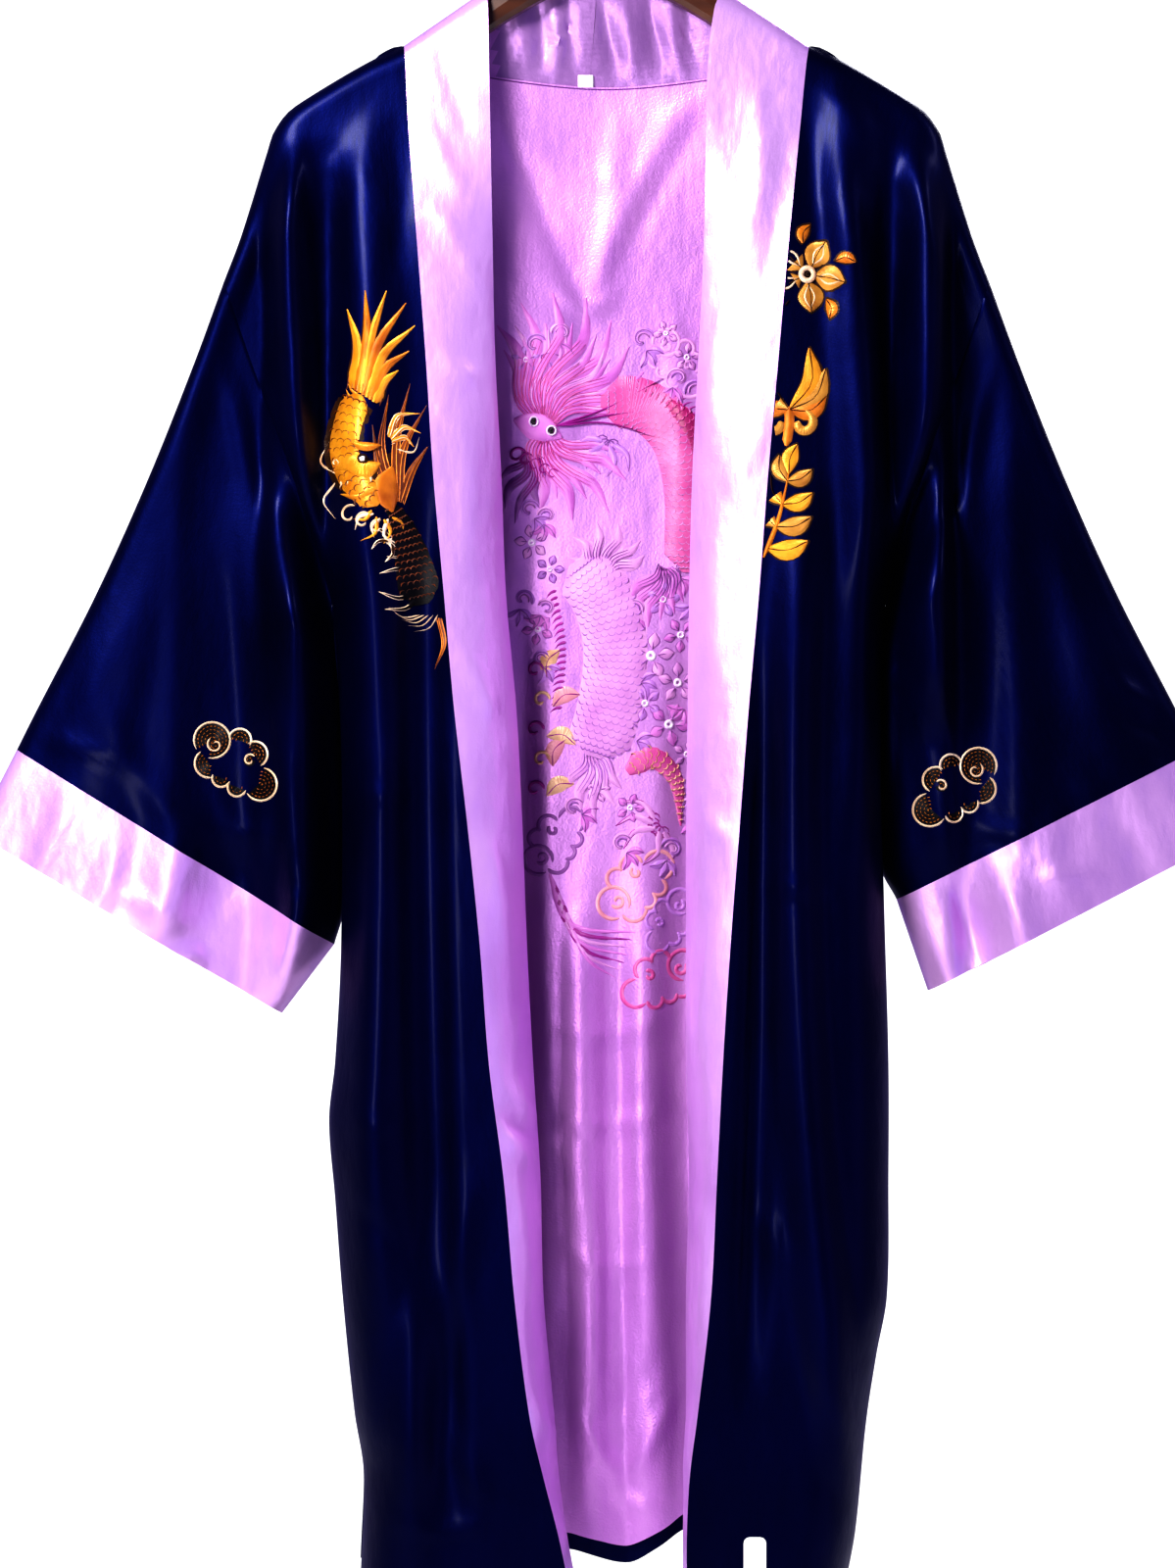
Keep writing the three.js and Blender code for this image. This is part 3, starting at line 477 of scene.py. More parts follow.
def fold_height(folds, out, z):
    """Each fold is a smooth ridge or hollow that runs down the cloth."""
    total = np.zeros_like(out)
    for f in rows_of(folds):
        down = np.clip((f["top_z"] - z) / (f["top_z"] - f["end_z"]), 0, 1)
        bend = 4 * down * (1 - down) * (f["mid_out"] - (f["top_out"] + f["end_out"]) / 2)
        off = out - mix(f["top_out"], f["end_out"], down) - bend
        share = np.clip(off / np.where(off > 0, f["outer"], f["inner"]), -1, 1)
        ends = smooth((f["top_z"] - z) / f["fade"]) * smooth((z - f["end_z"]) / f["fade"])
        total += f["height"] * (1 - share**2) ** 2 * ends
    return total


def bent(start, middle, end, u):
    """A value that runs from start through middle to end."""
    return start * (1 - u) ** 2 + (4 * middle - start - end) * u * (1 - u) + end * u**2


def crease_height(creases, x, z):
    """Each crease is a soft ridge along a bent line, highest in its middle."""
    total = np.zeros_like(x)
    for c in rows_of(creases):
        reach = abs(c["x3"] - c["x1"]) + abs(c["z3"] - c["z1"])
        u = np.linspace(0, 1, max(17, int(reach / (0.4 * c["width"]))))
        line_x = bent(c["x1"], c["x2"], c["x3"], u)
        line_z = bent(c["z1"], c["z2"], c["z3"], u)
        near = (np.abs(x - line_x.mean()) < np.ptp(line_x) + 4 * c["width"]) & (
            np.abs(z - line_z.mean()) < np.ptp(line_z) + 4 * c["width"]
        )
        px, pz = x[near], z[near]
        far = np.hypot(px[:, None] - line_x, pz[:, None] - line_z)
        nearest = far.argmin(1)
        along = u[nearest]
        taper = np.sin(np.pi * np.clip(along, 0.02, 0.98)) ** 0.7
        total[near] += c["height"] * np.exp(-((far.min(1) / c["width"]) ** 2)) * taper
    return total


def openness(z):
    """How far the body is open to the sleeve: 1 at the shoulder's end, 0 at the armpit and below."""
    return smooth((z - ARMPIT_Z) / (ARMHOLE[0][1] - ARMPIT_Z))


def stand(face, side, out, z, depth, creases):
    """How far the cloth stands from the middle plane."""
    folds = (FRONT_FOLDS if face == "front" else BACK_FOLDS)[side]
    below = below_roof(out, z)
    over = HANGER_FOLD_RADIUS * rounded(below / HANGER_FOLD_RADIUS)
    base = over + (depth - HANGER_FOLD_RADIUS) * smooth(below / SHOULDER_SWELL)
    fade = smooth(below / FOLD_FADE)
    fold = fold_height(folds, out, z) * fade
    base = np.maximum(base, 0.01)
    sunk = base * np.exp(np.minimum(fold, 0) / base)
    crease = crease_height(CREASES[creases], SIGN[side] * out, z)
    if face == "front":
        crease = crease + crease_height(CREASES["drape"], SIGN[side] * out, z)
    return np.maximum(np.where(fold < 0, sunk, base + fold) + crease * fade, np.minimum(base, LEAST_DEPTH))


def body_edge(side):
    return ARMHOLE + [(ARMPIT[side], ARMPIT_Z)] + SIDE_SEAM[side]


def edge_path(side, sign):
    flip = np.array([sign, 1])
    armhole = path(np.array(ARMHOLE + [(ARMPIT[side], ARMPIT_Z)]) * flip)
    seam = path(np.array([(ARMPIT[side], ARMPIT_Z)] + SIDE_SEAM[side]) * flip)
    return lambda t: armhole(t / ARMPIT_ROW) if t < ARMPIT_ROW else seam((t - ARMPIT_ROW) / (1 - ARMPIT_ROW))


def body_depth(face, side, out, z):
    open_share = openness(z)
    edge = np.array(body_edge(side), float)
    in_from = np.where(z < ARMHOLE[0][1], read(edge[:, 1], edge[:, 0], z) - out, SIDE_ROUNDING)
    share = open_share + (1 - open_share) * rounded(in_from / SIDE_ROUNDING)
    return share * stand(face, side, out, z, read(DEPTHS["z"], DEPTHS[face], z), face)


def spaced(curve, shares):
    """Points at shares of the length of a curve."""
    dense = curve((1 - np.cos(np.linspace(0, np.pi, DENSE + 1))) / 2)
    far = travelled(dense)
    return np.stack([np.interp(np.asarray(shares) * far[-1], far, column) for column in dense.T], -1)


def divide(shares, length):
    """The shares, with more between them, about one cloth step apart."""
    found = [shares[0]]
    for a, b in zip(shares, shares[1:]):
        count = max(2, math.ceil((b - a) * length / CLOTH_STEP))
        found += [mix(a, b, (k + 1) / count) for k in range(count)]
    return np.array(found)


LINING_END = 1 - LINING_SHORTER / BODY_HEIGHT
PART_ROWS = ARMHOLE_ROWS + [mix(ARMPIT_ROW, LINING_END, (i + 1) / SIDE_ROWS) for i in range(SIDE_ROWS)] + [1]
ROWS = divide(PART_ROWS, BODY_HEIGHT)
ARMHOLE_COUNT = int((ROWS <= ARMPIT_ROW + 1e-9).sum())
FINE_RING = np.interp(ROWS[:ARMHOLE_COUNT], ARMHOLE_ROWS, RING)


def directions(grid):
    """Directions out of a grid of points, by the area of the quads round each one."""
    one = grid[1:, 1:] - grid[:-1, :-1]
    other = grid[1:, :-1] - grid[:-1, 1:]
    area = np.cross(other, one)
    found = np.zeros_like(grid)
    columns = area.shape[1]
    for r in (0, 1):
        rows = slice(r, r + area.shape[0])
        found[rows, :columns] += area
        found[rows, 1:] += area
    return found / np.linalg.norm(found, axis=-1, keepdims=True)


def inset(grid, top=0.0, first=0.0, last=0.0):
    """The grid with its edges moved in along the cloth."""
    grid = grid.copy()

    def pull(edge, within, by):
        step = within - edge
        length = np.linalg.norm(step, axis=-1, keepdims=True)
        return edge + step / length * np.minimum(by, length / 2)

    grid[:, 0] = pull(grid[:, 0], grid[:, 1], first)
    grid[:, -1] = pull(grid[:, -1], grid[:, -2], last)
    grid[0] = pull(grid[0], grid[1], top)
    return grid


# The cloth's grids, in millimetres


def points_3d(x, y, z):
    return np.stack([x, y, z], -1)


def front_grid(side):
    outer, inner = edge_path(side, 1), path(np.stack([FRONT_EDGE[side + "_seam"], FRONT_EDGE["z"]], -1))
    top = path(ROOF[NECK_SIDE : SHOULDER_END + 1][::-1])
    corners = outer(1.0)[0], inner(1.0)[0]

    def bottom(s):
        return np.stack([mix(*corners, s), np.full_like(s, FRONT_HEM_Z)], -1)

    view = patch(top, bottom, outer, inner)
    columns = divide(np.linspace(0, 1, 12), DIVIDED_LENGTH["front"])

    def row(t):
        def curve(s):
            out, z = view(s, t).T
            return points_3d(SIGN[side] * out, -body_depth("front", side, out, z) - SEAM_GAP / 2, z)

        return spaced(curve, columns)

    return np.array([row(t) for t in ROWS])


def neck_share():
    """The shoulder's share of half the back's top edge, in the front view."""
    half = ROOF[NECK_SIDE : SHOULDER_END + 1][::-1] + NECK_SEAM[1:]
    found = steps(np.array(half, float))
    return found[: SHOULDER_END - NECK_SIDE].sum() / found.sum()


def back_grid():
    half = np.array(ROOF[NECK_SIDE : SHOULDER_END + 1][::-1] + NECK_SEAM[1:], float)
    top = path(np.concatenate([half * [-1, 1], half[::-1][1:]]))
    outer, inner = edge_path("right", -1), edge_path("left", 1)
    ends = outer(1.0)[0], inner(1.0)[0]

    def bottom(s):
        return np.stack([mix(*ends, s), np.full_like(s, FRONT_HEM_Z)], -1)

    view = patch(top, bottom, outer, inner)

    def row_curve(t):
        def curve(s):
            x, z = view(s, t).T
            right, left = (body_depth("back", side, np.abs(x), z) for side in ("right", "left"))
            depth = mix(right, left, smooth((x + MIDDLE_BLEND) / (2 * MIDDLE_BLEND)))
            hem = np.clip((z - HEM_CURVES_FROM) / (FRONT_HEM_Z - HEM_CURVES_FROM), 0, 1)
            lift = (read(BACK_HEM["x"], BACK_HEM["z"], x) - FRONT_HEM_Z) * hem
            return points_3d(x, depth + SEAM_GAP / 2, z + lift)

        return curve

    def length(u):
        return steps(row_curve(0.0)(u)).sum()

    whole = length(np.linspace(0, 1, 2 * DENSE))
    neck = length(np.linspace(0, neck_share() / 2, DENSE)) / whole
    half_columns = [u * neck for u in SHOULDER_COLUMNS] + [mix(neck, 0.5, u) for u in NECK_COLUMNS[1:]]
    right = divide(half_columns, DIVIDED_LENGTH["back"])
    columns = np.concatenate([right, 1 - right[::-1][1:]])
    at_neck = int(np.argmin(np.abs(right - neck)))
    return np.array([spaced(row_curve(t), columns) for t in ROWS]), at_neck


def lap_back(inside, share=1.0):
    """The sleeve's inner edge hangs just behind the side of the body."""
    return UNDERARM_LAP["back"] * smooth(1 - inside / UNDERARM_LAP["width"]) * share


def tube_grid(view, side, rows, depth_at, share_at, back_at):
    def half(t, sign, face):
        def curve(u):
            out, z = view(u, t).T
            y = share_at(u, t, z) * stand(face, side, out, z, depth_at(t, face, z), "sleeve_" + face)
            return points_3d(SIGN[side] * out, sign * y + back_at(u, t), z)

        return spaced(curve, FINE_RING)

    rings = [np.concatenate([half(t, -1, "front")[:-1], half(t, 1, "back")[::-1][:-1]]) for t in rows]
    return np.array(rings)


def straight(a, b):
    a, b = np.array(a, float), np.array(b, float)
    return lambda u: a + (b - a) * np.asarray(u, float)[..., None]


def sleeve_grid(side, front_edge, back_edge):
    armpit = (ARMPIT[side], ARMPIT_Z)
    armhole = path(ARMHOLE + [armpit])
    outer, inner = path(ROOF[SHOULDER_END : CUFF_SEAM + 1]), path([armpit] + UNDERARM[side])
    view = patch(armhole, straight(ROOF[CUFF_SEAM], UNDERARM[side][-1]), outer, inner)

    def depth_at(t, face, z):
        return mix(read(DEPTHS["z"], DEPTHS[face], z), CUFF_DEPTH, smooth(t * 1.4))

    def width_at(t):
        return np.linalg.norm(view(np.zeros(1), t) - view(np.ones(1), t))

    def share_at(s, t, z):
        return mix(openness(z), rounded((1 - s) * width_at(t) / UNDERARM_ROUNDING), smooth(t / UNDERARM_EASE))

    def back_at(s, t):
        return lap_back((1 - s) * width_at(t), smooth(t / UNDERARM_EASE))

    first = np.concatenate([front_edge, back_edge[::-1][1:-1]])
    first[:, 0] += SIGN[side] * ARMHOLE_GAP
    first[[0, ARMHOLE_COUNT - 1], 1] = 0
    rows = divide(np.linspace(0, 1, 10), DIVIDED_LENGTH["sleeve"])[1:]
    rest = tube_grid(view, side, rows, depth_at, share_at, back_at)
    return np.concatenate([seam_allowance(first, side), first[None], rest])


ALLOWANCE_ROWS = ((SEAM_ALLOWANCE, 2.6), (1.2, 1.8))


def seam_allowance(ring, side):
    """The sleeve's turned-in edge, which lies inside the body along the armhole seam."""
    rows = []
    for across, under in ALLOWANCE_ROWS:
        row = ring.copy()
        row[:, 0] -= SIGN[side] * across
        row[:, 1] -= np.sign(row[:, 1]) * np.minimum(under, np.abs(row[:, 1]))
        rows.append(row)
    return np.array(rows)


def cuff_grid(side):
    seam, edge = straight(ROOF[CUFF_SEAM], UNDERARM[side][-1]), straight(ROOF[-1], CUFF_EDGE[side])

    def view(s, t):
        return mix(seam(s), edge(s), t)

    def width_at(t):
        return np.linalg.norm(view(0.0, t) - view(1.0, t))

    def share_at(s, t, z):
        return rounded((1 - s) * width_at(t) / UNDERARM_ROUNDING)

    def back_at(s, t):
        return lap_back((1 - s) * width_at(t))

    return tube_grid(view, side, np.linspace(0, 1, 15), lambda t, face, z: CUFF_DEPTH, share_at, back_at)


def band_grid(side, front_seam, neck_seam, meet):
    across_count = 15
    q = np.linspace(0, 1, across_count + 1)[:, None]

    def across(start, end, curl):
        inward = mix(q, np.sin(q * np.pi / 2), curl)
        backward = mix(q, 1 - np.cos(q * np.pi / 2), curl)
        shares = np.concatenate([inward, backward, q], 1)
        return start + (end - start) * shares

    rows = []
    for seam in front_seam:
        up = smooth((seam[2] - BAND_RISE_FROM) / (NECK_SEAM[0][1] - BAND_RISE_FROM))
        free = read(FRONT_EDGE["z"], FRONT_EDGE[side + "_free"], seam[2])
        set_back = read(FRONT_EDGE["z"], FRONT_EDGE["back"], seam[2])
        end = np.array([SIGN[side] * free, seam[1] + set_back, seam[2] + BAND_RISE * up])
        rows.append(across(seam, end, BAND_CURL * (1 - up)))
    free_path = path(NECK_EDGE + [(-x, y, z) for x, y, z in NECK_EDGE[-2::-1]])
    lengths = travelled(neck_seam)
    neck = []
    for i in range(1, meet + 1):
        hold = SIGN[side] * SEAM_GAP / 2 if i == meet else 0
        end = free_path(lengths[i] / lengths[-1]) * [SIGN[side], 1, 1] + [hold, 0, 0]
        neck.append(across(neck_seam[i] + [hold, 0, 0], end, 0))
    grid = np.array(rows[::-1] + neck)
    outward = directions(grid) * (1 if side == "left" else -1)
    lift = crease_height(CREASES["band"], grid[..., 0], grid[..., 2])
    inside = np.sin(np.pi * q[:, 0]) ** 0.5
    return grid + outward * (lift * inside)[..., None]


# Materials


def new_material(name, color, roughness, **sockets):
    material = bpy.data.materials.new(name)
    material.use_nodes = True
    shader = material.node_tree.nodes["Principled BSDF"]
    shader.inputs["Base Color"].default_value = (*color, 1)
    shader.inputs["Roughness"].default_value = roughness
    for socket, value in sockets.items():
        shader.inputs[socket.replace("_", " ")].default_value = value
    return material, material.node_tree.nodes, material.node_tree.links, shader


def noise(nodes, links, vector, scale, detail=3.0, stretch=(1, 1, 1)):
    mapping = nodes.new("ShaderNodeMapping")
    mapping.inputs["Scale"].default_value = stretch
    links.new(vector, mapping.inputs["Vector"])
    texture = nodes.new("ShaderNodeTexNoise")
    texture.inputs["Scale"].default_value = scale
    texture.inputs["Detail"].default_value = detail
    links.new(mapping.outputs["Vector"], texture.inputs["Vector"])
    return texture.outputs["Fac"]


def ramp(nodes, links, value, low, high):
    """A colour or grey between two values, by a factor from 0.3 to 0.7."""
    node = nodes.new("ShaderNodeValToRGB")
    node.color_ramp.elements[0].position = 0.3
    node.color_ramp.elements[1].position = 0.7
    node.color_ramp.elements[0].color = (*low, 1)
    node.color_ramp.elements[1].color = (*high, 1)
    links.new(value, node.inputs["Fac"])
    return node.outputs["Color"]


def bumps(nodes, links, shader, *heights):
    """Bumps one over another: each has its height value, its strength and its depth in metres."""
    normal = None
    for value, strength, depth in heights:
        bump = nodes.new("ShaderNodeBump")
        bump.inputs["Strength"].default_value = strength
        bump.inputs["Distance"].default_value = depth
        links.new(value, bump.inputs["Height"])
        if normal:
            links.new(normal, bump.inputs["Normal"])
        normal = bump.outputs["Normal"]
    links.new(normal, shader.inputs["Normal"])


def satin(name, dark, light, roughness, rumple=0.4, grain=0.2, **sockets):
    """Satin: faint lengthwise threads, a fine grain, a soft rumple, and a colour that drifts a little."""
    material, nodes, links, shader = new_material(name, light, sum(roughness) / 2, **sockets)
    where = nodes.new("ShaderNodeTexCoord")
    drift = noise(nodes, links, where.outputs["Object"], 9, 3)
    links.new(ramp(nodes, links, drift, dark, light), shader.inputs["Base Color"])
    slub = noise(nodes, links, where.outputs["UV"], 900, 2, (1, 0.08, 1))
    grey = ramp(nodes, links, slub, (roughness[0],) * 3, (roughness[1],) * 3)
    links.new(grey, shader.inputs["Roughness"])
    speckle = noise(nodes, links, where.outputs["Object"], 640, 2)
    folds = noise(nodes, links, where.outputs["Object"], 30, 3, (1, 1, 0.5))
    bumps(nodes, links, shader, (slub, 0.1, 0.0004), (speckle, grain, 0.0005), (folds, rumple, 0.004))
    return material


def varnished_wood(name):
    material, nodes, links, shader = new_material(
        name, (0.06, 0.018, 0.006), 0.3, Coat_Weight=0.5, Coat_Roughness=0.15
    )
    where = nodes.new("ShaderNodeTexCoord")
    grain = noise(nodes, links, where.outputs["Object"], 60, 6, (0.12, 1, 1))
    links.new(
        ramp(nodes, links, grain, (0.022, 0.006, 0.002), (0.1, 0.032, 0.01)), shader.inputs["Base Color"]
    )
    bumps(nodes, links, shader, (grain, 0.15, 0.0006))
    return material


def polished_steel(name):
    material, nodes, links, shader = new_material(name, (0.62, 0.62, 0.64), 0.2, Metallic=1.0)
    where = nodes.new("ShaderNodeTexCoord")
    scuffs = noise(nodes, links, where.outputs["Object"], 420, 3, (1, 1, 0.2))
    links.new(ramp(nodes, links, scuffs, (0.14,) * 3, (0.3,) * 3), shader.inputs["Roughness"])
    return material


navy = satin(
    "navy_satin",
    (0.00005, 0.0002, 0.004),
    (0.0002, 0.0007, 0.013),
    (0.42, 0.52),
    Specular_IOR_Level=0.42,
    Specular_Tint=(0.03, 0.07, 0.9, 1),
    Coat_Weight=0.06,
    Coat_Roughness=0.22,
)
LILAC_SHEEN = {"Metallic": 0.5, "Specular_IOR_Level": 0.5, "Specular_Tint": (1, 0.85, 1, 1)}
lilac = satin(
    "lilac_satin",
    (0.64, 0.36, 0.74),
    (0.8, 0.48, 0.86),
    (0.34, 0.46),
    rumple=0.75,
    **LILAC_SHEEN,
)
# A darker copy of the lilac satin: painted shade for the band's inner face round the neck, which lies in
# shade.
neck_shade_satin = satin(
    "lilac_satin_painted_shade_round_the_neck",
    (0.3, 0.14, 0.38),
    (0.44, 0.24, 0.52),
    (0.3, 0.42),
    rumple=0.75,
    **LILAC_SHEEN,
)
# A darker, more violet copy of the lilac satin, used for the lining and the insides of the fronts and bands:
# painted shade, where the lining lies in the shade of the fronts.
lining_shade_satin = satin(
    "lilac_lining_satin_painted_shade",
    (0.5, 0.22, 0.58),
    (0.66, 0.32, 0.7),
    (0.36, 0.48),
    rumple=0.6,
    grain=0.6,
    Metallic=0.45,
    Specular_IOR_Level=0.5,
    Specular_Tint=(1, 0.8, 1, 1),
)
label_weave = satin("label_weave", (0.8, 0.8, 0.78), (0.9, 0.9, 0.88), (0.6, 0.8))
wood = varnished_wood("dark_varnished_wood")
steel = polished_steel("polished_steel")


# Making the cloth's meshes


def cloth(name, grid, thickness, outside, inside, closed=False, flip=False):
    """A wall of cloth inward from a grid of points in millimetres, with its UVs in metres of cloth."""
    rows, columns = grid.shape[:2]
    vertices = (grid * MM).reshape(-1, 3)
    mesh = bpy.data.meshes.new(name)
    spans = columns if closed else columns - 1
    faces = []
    for r in range(rows - 1):
        for c in range(spans):
            a, b = r * columns + c, r * columns + (c + 1) % columns
            quad = (a, a + columns, b + columns, b)
            faces.append(quad[::-1] if flip else quad)
    mesh.from_pydata(vertices.tolist(), [], faces)
    across = np.linalg.norm(np.diff(grid, axis=1), axis=-1).mean(0)
    down = np.linalg.norm(np.diff(grid, axis=0), axis=-1).mean(1)
    u = np.concatenate([[0], np.cumsum(across), [across.sum() + across.mean()]]) * MM
    v = np.concatenate([[0], np.cumsum(down)]) * MM
    layer = mesh.uv_layers.new(name="cloth")
    for polygon in mesh.polygons:
        base = [divmod(mesh.loops[k].vertex_index, columns) for k in polygon.loop_indices]
        wraps = closed and any(c == columns - 1 for _, c in base)
        for k, (r, c) in zip(polygon.loop_indices, base):
            layer.data[k].uv = (u[columns if wraps and c == 0 else c], v[r])
    piece = bpy.data.objects.new(name, mesh)
    bpy.context.collection.objects.link(piece)
    for material in (outside, inside):
        mesh.materials.append(material)
    wall = piece.modifiers.new("wall", "SOLIDIFY")
    wall.thickness = thickness * MM
    wall.offset = -1
    wall.use_even_offset = False
    wall.material_offset = 1
    apply_modifiers(piece)
    return piece


def apply_modifiers(piece):
    bpy.ops.object.select_all(action="DESELECT")
    bpy.context.view_layer.objects.active = piece
    piece.select_set(True)
    for modifier in list(piece.modifiers):
        bpy.ops.object.modifier_apply(modifier=modifier.name)
    bpy.ops.object.shade_smooth_by_angle(angle=math.radians(60))
    piece.select_set(False)


def put_on(piece, slot, *nodes):
    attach(piece, "root")
    if nodes:
        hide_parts(*nodes)
    return piece


def cut_area(grid):
    """The area in square metres of the cloth in a grid."""
    one = grid[1:, 1:] - grid[:-1, :-1]
    other = grid[1:, :-1] - grid[:-1, 1:]
    return float(np.linalg.norm(np.cross(one, other), axis=-1).sum() / 2 * MM * MM)


def cloth_piece(name, grid, thickness, slot, outside, inside, cut, held="hung", **shape):
    """A cloth shell in place of the part's node of that name. The size that it is cut to is not used."""
    piece = cloth(name + "_cloth", grid, thickness, outside, inside, **shape)
    put_on(piece, slot, name)
    width, length = cut
    min(cut_area(grid), width * length)
    return piece


def cut_vent(piece):
    """Cuts the short vent up from the left front's hem."""
    height = VENT["height"] * MM
    bpy.ops.mesh.primitive_cube_add(size=1, location=(VENT["out"] * MM, -0.05, FRONT_HEM_Z * MM))
    cutter = bpy.context.object
    cutter.scale = (VENT["width"] * MM, 0.1, 2 * height)
    bpy.ops.object.transform_apply(location=True, rotation=True, scale=True)
    bevel = cutter.modifiers.new("corners", "BEVEL")
    bevel.width, bevel.segments = 0.004, 3
    apply_modifiers(cutter)
    cut = piece.modifiers.new("vent", "BOOLEAN")
    cut.operation, cut.object, cut.solver = "DIFFERENCE", cutter, "EXACT"
    apply_modifiers(piece)
    bpy.data.objects.remove(cutter)


# The garment's pieces

panels = {}
back, at_neck = back_grid()
back_out = -directions(back)


def build_back():
    shell = inset(back, top=SEAM_GAP, first=SEAM_GAP, last=SEAM_GAP)
    panels["back"] = cloth_piece("back", shell, SHELL, "shell", navy, navy, (0.5, 1.02), flip=True)


LINING_V = {"side": 74, "foot": 2.0, "top_z": -176, "foot_x": -14, "foot_z": -304, "rise": 9, "reach": 16}
V_ENDS = {"top_z": -150, "top_fade": 40, "foot_z": -480, "foot_fade": 170, "out": 112, "out_fade": 34}
V_LEFT_SHARE = -0.15
LINING_SINK = 1.8
LINING_SLACK = {"seam": 0.8, "free": 1.6, "from_seam": 25}


def v_drape(x, z):
    """The lining hangs taut in a V below the neck, and falls away on either side of it."""
    v = LINING_V
    down = np.clip((v["top_z"] - z) / (v["top_z"] - v["foot_z"]), 0, 1)
    edge = mix(v["side"], v["foot"], down)
    beyond = np.abs(x - v["foot_x"] * down) - edge
    ends = V_ENDS
    fade = smooth((ends["top_z"] - z) / ends["top_fade"]) * smooth((z - ends["foot_z"]) / ends["foot_fade"])
    fade = fade * smooth((ends["out"] - np.abs(x)) / ends["out_fade"])
    reach = np.where(x < v["foot_x"] * down, 1.0, V_LEFT_SHARE)
    return v["rise"] * reach * (1 - np.exp(-np.maximum(beyond, 0) / v["reach"])) * fade


LINING_LAP = 1.6
BESIDE_NECK = {"drop": 6, "columns": 3}


def lining_grid():
    """The lining inside the back, which shows through the open front.

    Its top laps the band at the neck, and lies a little below the fold over the shoulders."""
    rows = ROWS <= LINING_END + 1e-9
    seam, out = back[rows][:, 1:-1], back_out[rows][:, 1:-1]
    slack = LINING_SLACK
    free = smooth(np.linalg.norm(seam - seam[:1], axis=-1) / slack["from_seam"])[..., None]
    grid = seam - out * (SHELL + LINING_GAP + LINING + slack["seam"] + slack["free"] * free)
    x, z = grid[..., 0], grid[..., 2]
    lift = crease_height(CREASES["lining"], x, z) + v_drape(x, z)
    lift = np.where(lift < 0, LINING_SINK * np.tanh(lift / LINING_SINK), lift)
    grid[..., 1] -= lift * free[..., 0]
    up = (grid[:1] - grid[1:2]) / np.linalg.norm(grid[:1] - grid[1:2], axis=-1, keepdims=True)
    grid = np.concatenate([grid[:1] + up * LINING_LAP, grid])
    beside_neck = np.minimum(np.arange(grid.shape[1]), np.arange(grid.shape[1])[::-1]) - (at_neck - 1)
    start = BESIDE_NECK["drop"] * smooth(1 - beside_neck / BESIDE_NECK["columns"])
    last = len(grid) - 1
    for column, first in enumerate(start):
        kept = first + (last - first) * np.arange(last + 1) / last
        grid[:, column] = np.stack(
            [np.interp(kept, np.arange(last + 1), values) for values in grid[:, column].T], -1
        )
    return grid


NECK = {"half_width": 74, "behind": 2, "foot_z": -163}


def paint_neck_shade(band):
    """Round the neck, the band's inner face towards the front gets the darker copy of the lilac satin:
    painted shade where the collar lies in shade.
    """
    band.data.materials.append(neck_shade_satin)
    last_slot = len(band.data.materials) - 1
    for face in band.data.polygons:
        x, y, z = face.center / MM
        if abs(x) < NECK["half_width"] and y > NECK["behind"] and z > NECK["foot_z"] and face.normal.y < 0:
            face.material_index = last_slot


def build_side(side):
    is_left = side == "left"
    back_edge = back[:, -1 if is_left else 0]
    neck = (back[0][::-1] if is_left else back[0])[at_neck : len(back[0]) - at_neck]
    meet = int(np.argmin(np.abs(neck[:, 0] - BAND_MEET_X)))
    front = front_grid(side)
    band = band_grid(side, front[:, -1], neck, meet)
    sleeve = sleeve_grid(side, front[:ARMHOLE_COUNT, 0], back_edge[:ARMHOLE_COUNT])
    cuff = cuff_grid(side)
    panel = inset(front, first=SEAM_GAP, last=SEAM_GAP)
    panels["front_" + side] = cloth_piece(
        "front_" + side, panel, SHELL, "shell", navy, lining_shade_satin, (0.17, 1.03), flip=is_left
    )
    if is_left:
        cut_vent(panels["front_left"])
    strip = inset(band, first=SEAM_GAP)
    cut = (0.062, 1.24)
    paint_neck_shade(
        cloth_piece(
            "band_" + side, strip, BAND, "lilac", lilac, lining_shade_satin, cut, held="folded", flip=not is_left
        )
    )
    panels["sleeve_" + side] = cloth_piece(
        "sleeve_" + side, sleeve, SHELL, "shell", navy, navy, (0.6, 0.34), closed=True, flip=is_left
    )
    cuff = inset(np.concatenate([cuff, cuff[:, :1]], axis=1), top=SEAM_GAP)[:, :-1]
    cloth_piece("cuff_" + side, cuff, BAND, "lilac", lilac, lilac, (0.56, 0.062), closed=True, flip=is_left)


build_back()
panels["back_lining"] = cloth_piece(
    "back_lining", lining_grid(), LINING * 0.9, "lilac", lining_shade_satin, lining_shade_satin, (0.49, 1.01)
)
for side in ("right", "left"):
    build_side(side)

LABEL = {"x": -14, "z": -154, "width": 10, "height": 8}


def build_label():
    """A small blank woven label, sewn in at the back of the neck."""
    across, down = np.meshgrid(np.linspace(-0.5, 0.5, 9), np.linspace(0.5, -0.5, 7))
    x, z = LABEL["x"] + across * LABEL["width"], LABEL["z"] + down * LABEL["height"]
    depth = body_depth("back", "right", np.abs(x), z) - (SHELL + LINING + 3 * SEAM_GAP + 0.8)
    grid = points_3d(x, depth - 0.5 * (0.5 - down) ** 2, z)
    cloth_piece("neck_label", grid, 0.5, "label", label_weave, label_weave, (0.01, 0.01), held="folded")


build_label()

for name, material in (("hanger_wood", wood), ("hanger_hook", steel), ("hanger_ferrule", steel)):
    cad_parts[name].data.materials.clear()
    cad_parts[name].data.materials.append(material)


# Embroidery: ribbons of satin stitch that lie on the cloth under them, in millimetres of the front view

